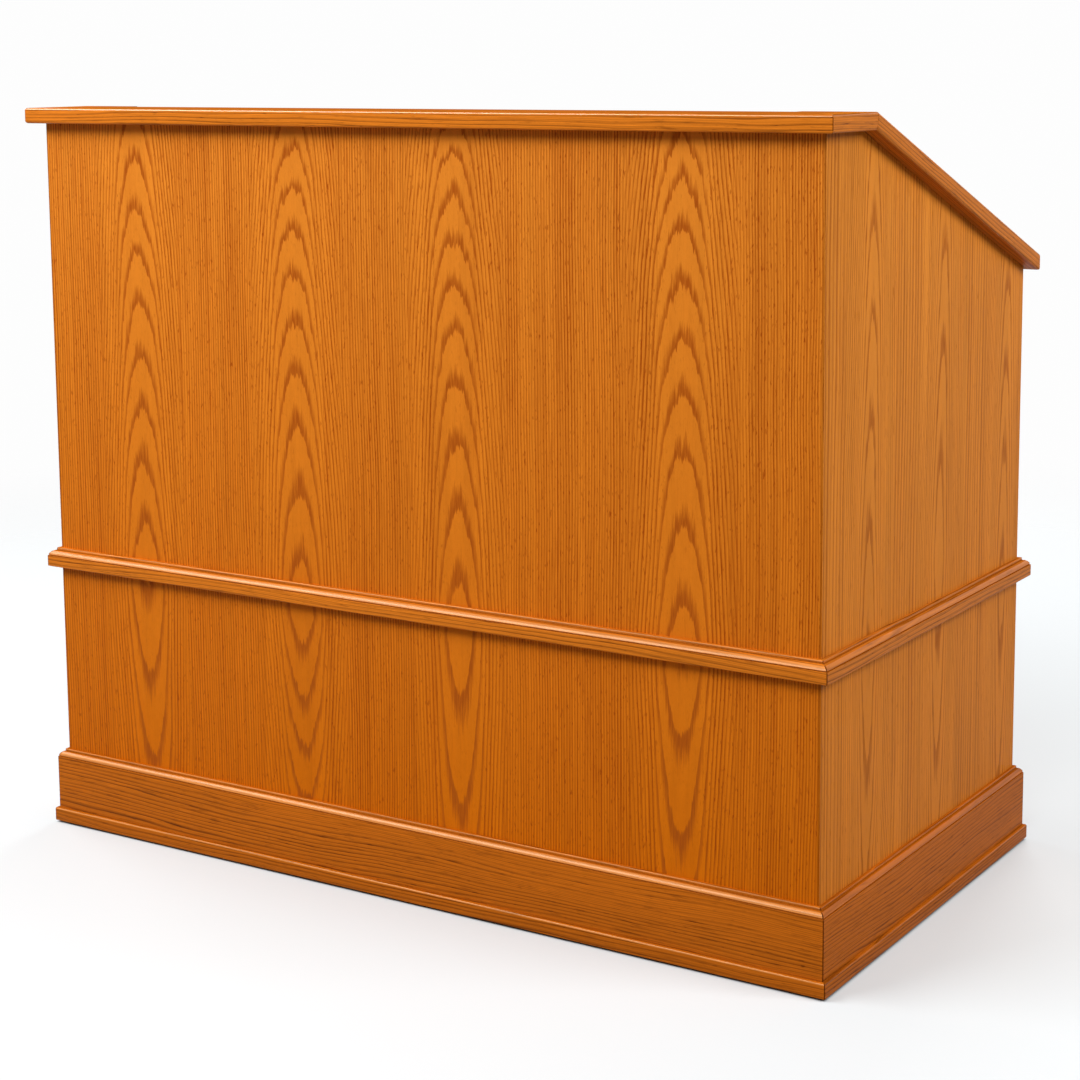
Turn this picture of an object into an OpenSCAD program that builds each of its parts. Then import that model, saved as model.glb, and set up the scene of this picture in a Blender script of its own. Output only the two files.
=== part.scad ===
// Multimedia lectern: a panelled oak cabinet desk with a flat front shelf, sloping side caps,
// a recessed work surface, a keyboard drawer, a 19 inch rack bay and a storage bay.
// The audience side faces -Y and the presenter stands at +Y. Millimetres, +Z up.
// The origin is the middle of the footprint, on the floor.

/* [Body] */
// Height of the flat shelf above the floor
front_h = 1118; // [1090:1:1150]
// Height of the low end of the sloping caps
low_h = 896; // [885:1:930]
// Width over the side panels
body_w = 1296; // [1260:1:1400]
// Depth from the audience face to the presenter face
body_d = 676; // [650:1:740]
// Thickness of the veneered panels
panel_t = 19; // [17:0.5:21]

/* [Top] */
// Thickness of the shelf, its nosing and the caps
top_t = 23; // [20:0.5:26]
// Overhang of the top past the side panels
over_side = 20; // [18:0.5:30]
// Overhang of the top past the audience panel
over_front = 24; // [19:0.5:34]
// Overhang of the caps past the presenter face
over_rear = 14; // [8:0.5:17]
// Distance from the audience face to the fold where the slope begins
fold_d = 109; // [100:1:130]
// Distance from the audience face to the presenter edge of the shelf
shelf_d = 86; // [80:1:95]
// Width of the sloping caps
cap_w = 105; // [90:1:120]
// Width of the solid nosing strips
nosing_w = 38; // [30:1:45]
// Depth of the rail that closes the low end
rear_rail_w = 60; // [45:1:75]
// Radius of the eased edges of the top
ease_r = 3.5; // [2:0.5:5]

/* [Mouldings] */
// Height of the underside of the chair rail
chair_z = 412; // [380:1:450]
// Height of the flat face of the chair rail
chair_face_h = 17; // [14:0.5:20]
// Projection of the chair rail
chair_p = 16; // [12:0.5:18]
// Length of the chair rail returns on the presenter side
return_l = 60; // [40:1:62]
// Height of the base board with its moulded top
base_h = 94; // [80:1:100]
// Projection of the base board
base_p = 13; // [10:0.5:15]
// Height of the moulded band on the chair rail and the base
ogee_h = 11.5; // [9:0.5:13]
// Height of the shoe strip
shoe_h = 21; // [16:0.5:24]
// Projection of the shoe strip
shoe_p = 18; // [16:0.5:18]
// Height of the glides under the panels
glide_h = 3; // [2:0.5:5]
// Diameter of the glides
glide_d = 30; // [24:1:34]

/* [Frame] */
// Width of the stiles
stile_w = 50; // [44:1:56]
// Thickness of the stiles, doors and drawer front
stile_t = 19; // [17:0.5:21]
// Height of the underside of the bottom panel
bottom_z = 112; // [108:1:114]
// Height of the underside of the deck over the bays
deck_z = 737; // [725:1:745]
// Clear height of the drawer opening
drawer_open_h = 70; // [64:1:74]
// Side length of the corner cleats under the work surface
cleat_s = 22; // [16:1:26]

/* [Work surface] */
// Height of the work surface at the presenter edge
surface_z = 846; // [844:1:850]
// Slope of the work surface in degrees
surface_slope = 6; // [3:0.5:8]
// Thickness of the work surface board
surface_t = 19; // [17:0.5:19]
// Set-back of the riser under the shelf edge
riser_set = 12; // [6:1:18]
// Depth of the riser below the work surface
riser_drop = 30; // [24:1:40]
// Outer diameter of the grommet flanges
grommet_d = 72; // [66:1:80]
// Radial clearance of the grommets in the board
grommet_fit = 0.2; // [0.1:0.05:0.5]
// Width of the grommet flange past the barrel
grommet_lap = 5; // [4:0.5:6]
// Diameter of the hole through the grommets
grommet_bore = 50; // [40:1:52]
// Distance of the grommets from the middle
grommet_x = 430; // [380:1:450]
// Distance of the grommets from the riser
grommet_back = 70; // [60:1:90]
// Width of the connection plate
plate_w = 260; // [220:1:300]
// Height of the connection plate
plate_h = 84; // [70:1:100]
// Thickness of the connection plate
plate_t = 3; // [2:0.5:4]

/* [Doors] */
// Gap around the doors and the drawer front
door_gap = 3; // [2.5:0.25:4]
// Gap between the back of the doors and the pieces behind them
door_back_gap = 3; // [2:0.5:5]
// Height of a hinge
hinge_h = 76; // [64:1:90]
// Distance of the hinges from the ends of the door
hinge_in = 70; // [50:1:110]
// Thickness of a hinge leaf
leaf_t = 2; // [1.5:0.25:2]
// Depth of a leaf seat in the wood
leaf_seat = 1; // [1:0.1:1.2]
// Reach of a hinge leaf across the edge
leaf_w = 16; // [13:0.5:16]
// Outer diameter of the hinge knuckles
knuckle_d = 8; // [7:0.5:9]
// Diameter of the hinge pins
pin_d = 4; // [3:0.5:4.5]
// Radial clearance of the hinge pins
pin_fit = 0.06; // [0.04:0.01:0.09]
// Space between moving hinge knuckles, and between the knuckles and the wood
knuckle_gap = 0.5; // [0.35:0.05:0.8]
// Spacing of the posts of the pulls
pull_c = 96; // [80:1:128]
// Diameter of the bar of the pulls
pull_d = 10; // [8:0.5:12]
// Projection of the pulls from the wood
pull_p = 32; // [26:1:38]
// Distance of the door pulls from the door edge
pull_in = 50; // [46:1:70]
// Height of the middle of the door pulls
pull_z = 520; // [420:1:560]

/* [Lock] */
// Height of the lock
lock_z = 660; // [630:1:670]
// Distance of the lock from the door edge
lock_in = 24; // [22:1:28]
// Diameter of the lock barrel
barrel_d = 19; // [17:0.5:21]
// Radial clearance of the lock barrel in the door
barrel_fit = 0.2; // [0.1:0.05:0.4]
// Diameter of the turning plug
plug_d = 12; // [10:0.5:13]
// Radial clearance of the plug
plug_fit = 0.08; // [0.04:0.01:0.1]
// Length of the cam from the axis
cam_l = 38; // [36:0.5:40]
// Width of the cam
cam_w = 12; // [10:0.5:14]
// Thickness of the cam
cam_t = 2; // [1.5:0.25:2.5]

/* [Vent] */
// Width of the vent grille
vent_w = 340; // [280:1:380]
// Height of the vent grille
vent_h = 132; // [110:1:150]
// Height of the middle of the vent grille
vent_z = 250; // [230:1:280]
// Number of slots in the vent grille
vent_n = 8; // [6:1:9]
// Lap of the vent grille over the edge of its opening
vent_lap = 14; // [10:1:18]
// Clearance of the vent grille in its opening
vent_fit = 0.5; // [0.2:0.1:1]

/* [Drawer] */
// Thickness of the keyboard tray
tray_t = 16; // [15:0.5:18]
// Depth of the keyboard tray
tray_d = 350; // [320:1:380]
// Height of the tray above the deck
tray_up = 18; // [15:1:19]
// Height of the drawer slides
slide_h = 35; // [34:0.5:36]
// Width of one drawer slide
slide_w = 12.7; // [12.2:0.1:13.5]
// Thickness of the slide steel
slide_t = 1.2; // [1:0.1:1.4]
// Thickness of the boards that carry the slides
hanger_t = 19; // [15:0.5:19]

/* [Rack] */
// Rack units between the bottom panel and the deck
rack_u = 12; // [10:1:12]
// Clear width of the rack bay
rack_w = 489; // [488:0.5:495]
// Spacing of the two hole rows of the rack, side to side
rack_c = 465.1; // [465:0.1:465.2]
// Clear opening between the rack rails
rack_open = 450; // [450:0.5:454]
// Distance of the rack faces from the presenter face
rack_in = 69; // [60:1:90]
// Depth of the rack rails
rail_d = 30; // [24:1:40]
// Thickness of the rack rails
rail_t = 2; // [1.5:0.25:2.5]
// Diameter of the threaded rack holes
rack_hole_d = 5; // [4.8:0.1:6]
// Height of the first rack unit above the bottom panel
rack_up = 10; // [6:1:12]

/* [Storage] */
// Thickness of the adjustable shelf
store_t = 19; // [16:0.5:21]
// Side clearance of the adjustable shelf
store_gap = 2; // [1:0.5:4]
// Diameter of the shelf pins
peg_d = 5; // [4.8:0.1:6]
// Radial clearance of the shelf pins
peg_fit = 0.1; // [0.05:0.05:0.2]
// Height of the lowest shelf pin hole
peg_z = 366; // [340:1:370]
// Spacing of the shelf pin holes
peg_pitch = 32; // [25:1:36]
// Distance of the front pins from the audience panel
peg_front = 90; // [60:1:120]
// Distance of the rear pins from the back of the bay
peg_rear = 110; // [80:1:140]
// Distance of the adjustable shelf from the audience panel
store_front = 6; // [3:1:20]
// Distance of the adjustable shelf from the doors
store_rear = 24; // [10:1:50]

/* [Cable ways] */
// Diameter of the round cable holes, and length of the cable slots
cable_d = 60; // [50:1:66]
// Wood left beside the cable slots in the cable chase
chase_edge = 12; // [8:1:16]
// Distance of the cable ways from the audience panel
cable_in = 90; // [80:1:130]
// Distance of the partition cable holes below the deck
cable_drop = 100; // [80:1:140]

/* [Hidden] */
$fn = 48;
hw = body_w / 2;
rear_out = max(over_rear, shoe_p, pull_p);
yf = (over_front - body_d - rear_out) / 2;
yb = yf + body_d;
yi = yf + panel_t;
xi = hw - panel_t;
ys = yb - stile_t;
top_x = hw + over_side;
top_y = yf - over_front;
cap_x = top_x - cap_w;
z_flat = front_h - top_t;
y_fold = yf + fold_d;
y_low = yb + over_rear;
slope = atan((front_h - low_h) / (y_low - y_fold));
fold_in = top_t * tan(slope / 2);
plumb = top_t / cos(slope);
function cap_top(y) = front_h - (y - y_fold) * tan(slope);
function cap_under(y) = cap_top(y) - plumb;
floor_z = bottom_z + panel_t;
deck_top = deck_z + panel_t;
apron_z = deck_top + drawer_open_h;
shelf_y = yf + shelf_d;
riser_y = shelf_y - riser_set;
surface_v = surface_t / cos(surface_slope);
function surf_top(y) = surface_z + (ys - y) * tan(surface_slope);
function surf_under(y) = surf_top(y) - surface_v;
chair_face = chair_z + chair_face_h;
base_z = glide_h + shoe_h;
base_top = base_z + base_h;
stile_x = xi - stile_w;
mid_x = stile_w / 2;
part_y = ys - door_back_gap;
bay_x = mid_x + rack_w;
bay_c = mid_x + rack_w / 2;
door_x0 = mid_x + door_gap;
door_x1 = stile_x - door_gap;
door_z0 = floor_z + door_gap;
door_z1 = deck_z - door_gap;
pin_x = stile_x - door_gap / 2;
pin_y = yb + knuckle_d / 2 + knuckle_gap;
leaf_y0 = yb - leaf_w;
knuckle_h = hinge_h / 5;
hinge_z = [door_z0 + hinge_in, door_z1 - hinge_in - hinge_h];
lock_x = door_x0 + lock_in;
barrel_back = ys - 4;
cam_y = barrel_back - 0.5 - cam_t;
tray_x0 = -stile_x + door_gap + slide_w;
tray_x1 = -mid_x - door_gap - slide_w;
tray_z = deck_top + tray_up;
slide_z = tray_z + tray_t / 2;
slide_y1 = ys - 2;
slide_y0 = slide_y1 - tray_d;
rack_y = yb - rack_in;
rack_z = floor_z + rack_up;
unit = 44.45;
store_z = peg_z + peg_pitch * 2 + peg_d / 2;
peg_y = [yi + peg_front, ys - peg_rear];
chase_x = bay_x + panel_t;
cable_y = yi + cable_in;

// A box between two corners
module box(x0, x1, y0, y1, z0, z1) {
    translate([x0, y0, z0])
        cube([x1 - x0, y1 - y0, z1 - z0]);
}

// An outline in Y and Z, drawn out along X
module along_x(x0, x1) {
    translate([x0, 0, 0])
        rotate([90, 0, 90])
            linear_extrude(x1 - x0)
                children();
}

// An outline in X and Z, drawn out along Y
module along_y(y0, y1) {
    translate([0, y1, 0])
        rotate([90, 0, 0])
            linear_extrude(y1 - y0)
                children();
}

// A round bar along Y
module rod_y(x, z, y0, y1, d) {
    translate([x, y1, z])
        rotate([90, 0, 0])
            cylinder(h = y1 - y0, d = d);
}

// A footprint, drawn up through the whole height
module plan(points) {
    translate([0, 0, -10])
        linear_extrude(front_h + 20)
            polygon(points);
}

module pair_x() {
    children();
    mirror([1, 0, 0])
        children();
}

// Panels

module front_panel_shape() {
    translate([0, 0, glide_h])
        linear_extrude(z_flat - glide_h)
            polygon([[-hw, yf], [hw, yf], [xi, yi], [-xi, yi]]);
}

module side_panel_shape() {
    intersection() {
        along_x(xi - 1, hw + 1)
            polygon([[yf, glide_h], [yb, glide_h], [yb, cap_under(yb)],
                [y_fold - fold_in, z_flat], [yf, z_flat]]);
        plan([[hw, yf], [hw, yb], [xi, yb], [xi, yi]]);
    }
}

module pin_holes(x0, x1) {
    for (y = peg_y)
        for (i = [0:4])
            translate([x0, y, peg_z + i * peg_pitch])
                rotate([0, 90, 0])
                    cylinder(h = x1 - x0, r = peg_d / 2 + peg_fit);
}

module side_panel_left_shape() {
    difference() {
        mirror([1, 0, 0])
            side_panel_shape();
        pin_holes(-xi - 11, -xi + 1);
    }
}

// A cable slot through a board, as wide as the chase less its edges
module chase_slot(z) {
    r = cable_d / 2;
    box(chase_x + chase_edge, xi - chase_edge, cable_y - r, cable_y + r, z - 1, z + panel_t + 1);
}

module bottom_panel_shape() {
    difference() {
        box(-xi, xi, yi, yb, bottom_z, floor_z);
        chase_slot(bottom_z);
        translate([-xi / 2, cable_y, bottom_z - 1])
            cylinder(h = panel_t + 2, d = cable_d);
    }
}

module cable_hole(x) {
    translate([x - 1, cable_y, deck_z - cable_drop])
        rotate([0, 90, 0])
            cylinder(h = panel_t + 2, d = cable_d);
}

module center_partition_shape() {
    difference() {
        box(mid_x - panel_t, mid_x, yi, ys, floor_z, deck_z);
        cable_hole(mid_x - panel_t);
        pin_holes(mid_x - panel_t - 1, mid_x - panel_t + 11);
        box(lock_x - cam_l - 2, mid_x + 1, cam_y - 2, ys + 1, lock_z - cam_w / 2 - 4, lock_z + cam_l + 4);
    }
}

module rack_partition_shape() {
    difference() {
        box(bay_x, bay_x + panel_t, yi, part_y, floor_z, deck_z);
        cable_hole(bay_x);
    }
}

module drawer_deck_shape() {
    difference() {
        box(-xi, xi, yi, yb, deck_z, deck_top);
        box(-xi - 1, -stile_x, ys, yb + 1, deck_z - 1, deck_top + 1);
        box(stile_x, xi + 1, ys, yb + 1, deck_z - 1, deck_top + 1);
        box(-mid_x, mid_x, ys, yb + 1, deck_z - 1, deck_top + 1);
        chase_slot(deck_z);
    }
}

// Work surface and riser

module work_surface_shape() {
    difference() {
        along_x(-xi, xi)
            polygon([[riser_y, surf_under(riser_y)], [ys, surf_under(ys)],
                [ys, surf_top(ys)], [riser_y, surf_top(riser_y)]]);
        pair_x()
            translate([grommet_x, riser_y + grommet_back, surf_top(riser_y + grommet_back)])
                rotate([-surface_slope, 0, 0])
                    translate([0, 0, -surface_t - 5])
                        cylinder(h = surface_t + 10, d = grommet_d - 2 * grommet_lap + 2 * grommet_fit);
    }
}

module grommets_shape() {
    pair_x()
        translate([grommet_x, riser_y + grommet_back, surf_top(riser_y + grommet_back)])
            rotate([-surface_slope, 0, 0])
                difference() {
                    union() {
                        cylinder(h = 2.5, d = grommet_d);
                        translate([0, 0, -surface_t])
                            cylinder(h = surface_t + 1, d = grommet_d - 2 * grommet_lap);
                    }
                    translate([0, 0, -surface_t - 1])
                        cylinder(h = surface_t + 5, d = grommet_bore);
                }
}

module well_riser_shape() {
    difference() {
        box(-xi, xi, riser_y - panel_t, riser_y, surf_top(riser_y) - riser_drop, z_flat);
        box(-plate_w / 2 + 14, plate_w / 2 - 14, riser_y - panel_t - 1, riser_y + 1,
            plate_z() - plate_h / 2 + 12, plate_z() + plate_h / 2 - 12);
    }
}

function plate_z() = (surf_top(riser_y) + z_flat) / 2;

module connection_plate_shape() {
    difference() {
        union() {
            box(-plate_w / 2, plate_w / 2, riser_y, riser_y + plate_t,
                plate_z() - plate_h / 2, plate_z() + plate_h / 2);
            box(-plate_w / 2 + 16, plate_w / 2 - 16, riser_y - 15, riser_y + 1,
                plate_z() - plate_h / 2 + 14, plate_z() + plate_h / 2 - 14);
        }
        for (i = [-2:2])
            box(i * plate_w * 0.17 - plate_w * 0.07, i * plate_w * 0.17 + plate_w * 0.07,
                riser_y + plate_t - 1.2, riser_y + plate_t + 1, plate_z() - 18, plate_z() + 18);
        for (i = [-1, 1])
            for (j = [-1, 1])
                rod_y(i * (plate_w / 2 - 8), plate_z() + j * (plate_h / 2 - 8),
                    riser_y + plate_t - 1.5, riser_y + plate_t + 1, 7);
    }
}

module surface_cleats_shape() {
    pair_x()
        along_x(xi - cleat_s, xi)
            polygon([[riser_y, surf_under(riser_y) - cleat_s], [ys, surf_under(ys) - cleat_s],
                [ys, surf_under(ys)], [riser_y, surf_under(riser_y)]]);
}

// Top

module eased_bar(a0, a1, b0, b1, r, inner) {
    // outline with a1 as the outer edge
    polygon(concat(
        [[a0, b0]],
        [for (t = [-90:15:0]) [a1 - r + r * cos(t), b0 + r + r * sin(t)]],
        [for (t = [0:15:90]) [a1 - r + r * cos(t), b1 - r + r * sin(t)]],
        inner ? [for (t = [90:15:180]) [a0 + r + r * cos(t), b1 - r + r * sin(t)]] : [[a0, b1]]));
}

module top_shelf_shape() {
    in_x = top_x - nosing_w;
    in_y = top_y + nosing_w;
    box(-in_x, in_x, in_y, shelf_y, z_flat, front_h);
    pair_x()
        along_x(cap_x, in_x)
            polygon([[in_y + 1, z_flat], [in_y + 1, front_h], [y_fold, front_h], [y_fold - fold_in, z_flat]]);
}

module nosing_front_shape() {
    intersection() {
        along_x(-top_x, top_x)
            mirror([1, 0])
                eased_bar(-top_y - nosing_w, -top_y, z_flat, front_h, ease_r, false);
        plan([[-top_x - 1, top_y - 1], [top_x + 1, top_y - 1],
            [top_x - nosing_w, top_y + nosing_w], [-top_x + nosing_w, top_y + nosing_w]]);
    }
}

module nosing_side_shape() {
    intersection() {
        along_y(top_y, y_fold + 1)
            eased_bar(top_x - nosing_w, top_x, z_flat, front_h, ease_r, false);
        along_x(top_x - nosing_w - 1, top_x + 1)
            polygon([[top_y, z_flat], [y_fold - fold_in, z_flat], [y_fold, front_h], [top_y, front_h]]);
        plan([[top_x + 1, top_y - 1], [top_x + 1, y_fold + 2],
            [top_x - nosing_w, y_fold + 2], [top_x - nosing_w, top_y + nosing_w]]);
    }
}

// Outline of the low end of a sloping piece, plumb cut with eased corners
function low_end(r) = [[y_low, cap_under(y_low) + r],
    [y_low - r * 0.3, cap_under(y_low - r * 0.3) + r * 0.35],
    [y_low - r, cap_under(y_low - r)]];
function low_top(r) = [[y_low - r, cap_top(y_low - r)],
    [y_low - r * 0.3, cap_top(y_low - r * 0.3) - r * 0.25],
    [y_low, cap_top(y_low) - r]];

module cap_shape() {
    intersection() {
        along_x(cap_x - 1, top_x + 1)
            polygon(concat([[y_fold - fold_in, z_flat], [y_fold, front_h]],
                low_top(ease_r), low_end(ease_r)));
        translate([0, y_fold, front_h])
            rotate([-slope, 0, 0])
                along_y(-40, body_d + 60)
                    eased_bar(cap_x, top_x, -top_t, 0, ease_r, true);
    }
}

module rear_rail_shape() {
    up = y_low - rear_rail_w;
    along_x(-cap_x, cap_x)
        polygon(concat([[up, cap_under(up)], [up, cap_top(up) - ease_r * 0.5],
            [up + ease_r * 0.5, cap_top(up + ease_r * 0.5)]], low_top(ease_r), low_end(ease_r)));
}

// Mouldings: outlines as projection and height

function band(p, h, z) = [[p, z], [p, z + 0.3], [p * 0.965, z + 0.5], [p * 0.95, z + 0.16 * h],
    [p * 0.9, z + 0.32 * h], [p * 0.81, z + 0.46 * h], [p * 0.68, z + 0.57 * h], [p * 0.52, z + 0.64 * h],
    [p * 0.4, z + 0.68 * h], [p * 0.395, z + 0.8 * h], [p * 0.36, z + 0.91 * h], [p * 0.28, z + 0.98 * h],
    [p * 0.2, z + h], [0, z + h]];
function chair_line() = concat([[0, chair_z], [chair_p - 1.5, chair_z], [chair_p - 0.45, chair_z + 0.45],
    [chair_p, chair_z + 1.5]], band(chair_p, ogee_h, chair_face));
function base_line() = concat([[0, base_z], [base_p, base_z]], band(base_p, ogee_h, base_top - ogee_h));
function shoe_line() = [[0, glide_h], [shoe_p - 1, glide_h], [shoe_p, glide_h + 1], [shoe_p, base_z - 3.5],
    [shoe_p - 0.5, base_z - 1.7], [shoe_p - 1.7, base_z - 0.5], [shoe_p - 3.5, base_z], [0, base_z]];

module run_front(line, p) {
    intersection() {
        along_x(-hw - p, hw + p)
            polygon([for (q = line) [yf - q[0], q[1]]]);
        plan([[-hw, yf], [-hw - p - 5, yf - p - 5], [hw + p + 5, yf - p - 5], [hw, yf]]);
    }
}

module run_side(line, p) {
    intersection() {
        along_y(yf - p, yb + p)
            polygon([for (q = line) [hw + q[0], q[1]]]);
        plan([[hw, yf], [hw + p + 5, yf - p - 5], [hw + p + 5, yb + p + 5], [hw, yb]]);
    }
}

module run_rear(line, p) {
    intersection() {
        along_x(-hw - p, hw + p)
            polygon([for (q = line) [yb + q[0], q[1]]]);
        plan([[-hw, yb], [-hw - p - 5, yb + p + 5], [hw + p + 5, yb + p + 5], [hw, yb]]);
    }
}

module chair_return_shape() {
    intersection() {
        along_x(hw - return_l, hw + chair_p)
            polygon([for (q = chair_line()) [yb + q[0], q[1]]]);
        plan([[hw - return_l - 1, yb], [hw, yb], [hw + chair_p + 5, yb + chair_p + 5],
            [hw - return_l - 1, yb + chair_p + 5]]);
    }
}

// Frame on the presenter side

module leaf_seats(x) {
    for (z = hinge_z)
        box(x, x + leaf_seat, leaf_y0 - 0.2, yb + 1, z - 0.2, z + hinge_h + 0.2);
}

module stile_shape() {
    difference() {
        box(stile_x, xi, ys, yb, floor_z, apron_z);
        leaf_seats(stile_x);
    }
}

module apron_rail_shape() {
    along_x(-xi, xi)
        polygon([[ys, apron_z], [yb, apron_z], [yb, cap_under(yb)], [ys, cap_under(ys)]]);
}

// Doors

module door_shape() {
    difference() {
        box(door_x0, door_x1, ys, yb, door_z0, door_z1);
        leaf_seats(door_x1 - leaf_seat);
    }
}

module door_right_shape() {
    difference() {
        door_shape();
        rod_y(lock_x, lock_z, ys - 1, yb + 1, barrel_d + 2 * barrel_fit);
        vent_box(vent_lap, ys - 1, yb + 1);
    }
}

function vent_x() = (door_x0 + door_x1) / 2;

// A box in the middle of the vent, smaller than the grille by inset on each side
module vent_box(inset, y0, y1) {
    box(vent_x() - vent_w / 2 + inset, vent_x() + vent_w / 2 - inset, y0, y1,
        vent_z - vent_h / 2 + inset, vent_z + vent_h / 2 - inset);
}

module vent_grille_shape() {
    rim = vent_lap + vent_fit;
    pitch = (vent_h - 2 * rim - 8) / vent_n;
    difference() {
        union() {
            vent_box(0, yb, yb + 2.5);
            vent_box(rim, yb - 12, yb + 1);
        }
        vent_box(rim + 2, yb - 13, yb);
        for (i = [0:vent_n - 1])
            translate([0, 0, vent_z - vent_h / 2 + rim + 4 + pitch * i])
                box(vent_x() - vent_w / 2 + rim + 5, vent_x() + vent_w / 2 - rim - 5, yb - 1, yb + 3,
                    pitch * 0.22, pitch * 0.78);
    }
}

module knuckle(i, fit) {
    translate([pin_x, pin_y, i * knuckle_h + knuckle_gap / 2])
        difference() {
            cylinder(h = knuckle_h - knuckle_gap, d = knuckle_d);
            translate([0, 0, -1])
                cylinder(h = knuckle_h + 2, d = pin_d + fit * 2);
        }
}

module web(i, x0) {
    difference() {
        box(x0, x0 + leaf_t, yb - 1, pin_y,
            i * knuckle_h + knuckle_gap / 2, (i + 1) * knuckle_h - knuckle_gap / 2);
        translate([pin_x, pin_y, i * knuckle_h - 1])
            cylinder(h = knuckle_h + 2, d = knuckle_d - 1);
    }
}

// The two leaves of a hinge: own gives the knuckles of this leaf
module leaf(x0, own) {
    box(x0, x0 + leaf_t, leaf_y0, yb - knuckle_gap / 2, 0, hinge_h);
    for (i = own) {
        knuckle(i, pin_fit);
        web(i, x0);
    }
}

module frame_leaves_half() {
    for (z = hinge_z)
        translate([0, 0, z])
            leaf(stile_x + leaf_seat - leaf_t, [0, 2, 4]);
}

module door_leaves_half() {
    for (z = hinge_z)
        translate([0, 0, z])
            leaf(door_x1 - leaf_seat, [1, 3]);
}

module pins_half() {
    for (z = hinge_z)
        translate([pin_x, pin_y, z + knuckle_gap / 2]) {
            cylinder(h = hinge_h - knuckle_gap, d = pin_d);
            translate([0, 0, hinge_h - knuckle_gap])
                cylinder(h = 2, d1 = pin_d + 2, d2 = pin_d);
            translate([0, 0, -2])
                cylinder(h = 2, d1 = pin_d, d2 = pin_d + 2);
        }
}

// A bar pull standing on the face at yb, upright, in the middle of its own length
module pull_upright(x, z) {
    for (s = [-1, 1]) {
        rod_y(x, z + s * pull_c / 2, yb, yb + pull_p - pull_d / 2, pull_d - 2);
        translate([x, yb + pull_p - pull_d / 2, z + s * (pull_c / 2 + 12)])
            sphere(d = pull_d);
    }
    translate([x, yb + pull_p - pull_d / 2, z - pull_c / 2 - 12])
        cylinder(h = pull_c + 24, d = pull_d);
}

module pull_level(x, z) {
    translate([x, 0, z])
        rotate([0, 90, 0])
            translate([-x, 0, -z])
                pull_upright(x, z);
}

// Lock

module lock_barrel_shape() {
    difference() {
        union() {
            rod_y(lock_x, lock_z, barrel_back, yb + 1, barrel_d);
            rod_y(lock_x, lock_z, yb, yb + 2.5, barrel_d + 5);
        }
        rod_y(lock_x, lock_z, barrel_back - 1, yb + 4, plug_d + plug_fit * 2);
    }
}

module lock_cam_shape() {
    difference() {
        rod_y(lock_x, lock_z, cam_y, yb + 2, plug_d);
        box(lock_x - 1, lock_x + 1, yb - 4, yb + 3, lock_z - 3.5, lock_z + 3.5);
    }
    box(lock_x - cam_w / 2, lock_x + cam_w / 2, cam_y, cam_y + cam_t, lock_z, lock_z + cam_l - cam_w / 2);
    rod_y(lock_x, lock_z + cam_l - cam_w / 2, cam_y, cam_y + cam_t, cam_w);
}

// Drawer

module channel(x0, x1, h, y0, y1) {
    // a steel channel with its web at x0 and its flanges towards x1
    s = x1 > x0 ? 1 : -1;
    box(min(x0, x0 + s * slide_t), max(x0, x0 + s * slide_t), y0, y1, slide_z - h / 2, slide_z + h / 2);
    box(min(x0, x1), max(x0, x1), y0, y1, slide_z + h / 2 - slide_t, slide_z + h / 2);
    box(min(x0, x1), max(x0, x1), y0, y1, slide_z - h / 2, slide_z - h / 2 + slide_t);
}

module at_both_slides() {
    // children are drawn for the slide at tray_x1, and mirrored about the middle of the tray
    children();
    translate([tray_x0 + tray_x1, 0, 0])
        mirror([1, 0, 0])
            children();
}

module slide_outer_shape() {
    at_both_slides()
        channel(tray_x1 + slide_w, tray_x1 + slide_w * 0.3, slide_h, slide_y0, slide_y1);
}

module slide_middle_shape() {
    at_both_slides()
        channel(tray_x1 + slide_w * 0.76, tray_x1 + slide_w * 0.24,
            slide_h - 2 * slide_t - 1, slide_y0, slide_y1);
}

module slide_inner_shape() {
    at_both_slides()
        channel(tray_x1, tray_x1 + slide_w * 0.55, slide_h - 4 * slide_t - 2, slide_y0, slide_y1);
}

module slide_hangers_shape() {
    at_both_slides()
        box(tray_x1 + slide_w, tray_x1 + slide_w + hanger_t, slide_y0 - 10, slide_y1, deck_top, apron_z - 5);
}

// Rack rails

module rack_rail() {
    z1 = floor_z + rack_u * unit + 2 * rack_up;
    difference() {
        union() {
            box(-rack_w / 2, -rack_w / 2 + rail_t, rack_y - rail_d, rack_y, floor_z, z1);
            box(-rack_w / 2, -rack_open / 2, rack_y - rail_t, rack_y, floor_z, z1);
        }
        for (u = [0:rack_u - 1])
            for (h = [6.35, 22.225, 38.1])
                rod_y(-rack_c / 2, rack_z + u * unit + h, rack_y - rail_t - 1, rack_y + 1, rack_hole_d);
    }
}

module rack_rails_shape() {
    translate([bay_c, 0, 0]) {
        rack_rail();
        mirror([1, 0, 0])
            rack_rail();
    }
}

// Storage

module adjustable_shelf_shape() {
    x1 = mid_x - panel_t - store_gap;
    box(-xi + store_gap, x1, yi + store_front, ys - store_rear, store_z, store_z + store_t);
}

// A pin with its collar against the wood at x = 0
module shelf_pin() {
    rotate([0, 90, 0]) {
        translate([0, 0, -10])
            cylinder(h = 20, d = peg_d);
        cylinder(h = store_gap * 0.6, d = peg_d + 3);
    }
}

module shelf_pins_shape() {
    for (y = peg_y) {
        translate([-xi, y, peg_z + peg_pitch * 2])
            shelf_pin();
        translate([mid_x - panel_t, y, peg_z + peg_pitch * 2])
            mirror([1, 0, 0])
                shelf_pin();
    }
}

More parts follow.
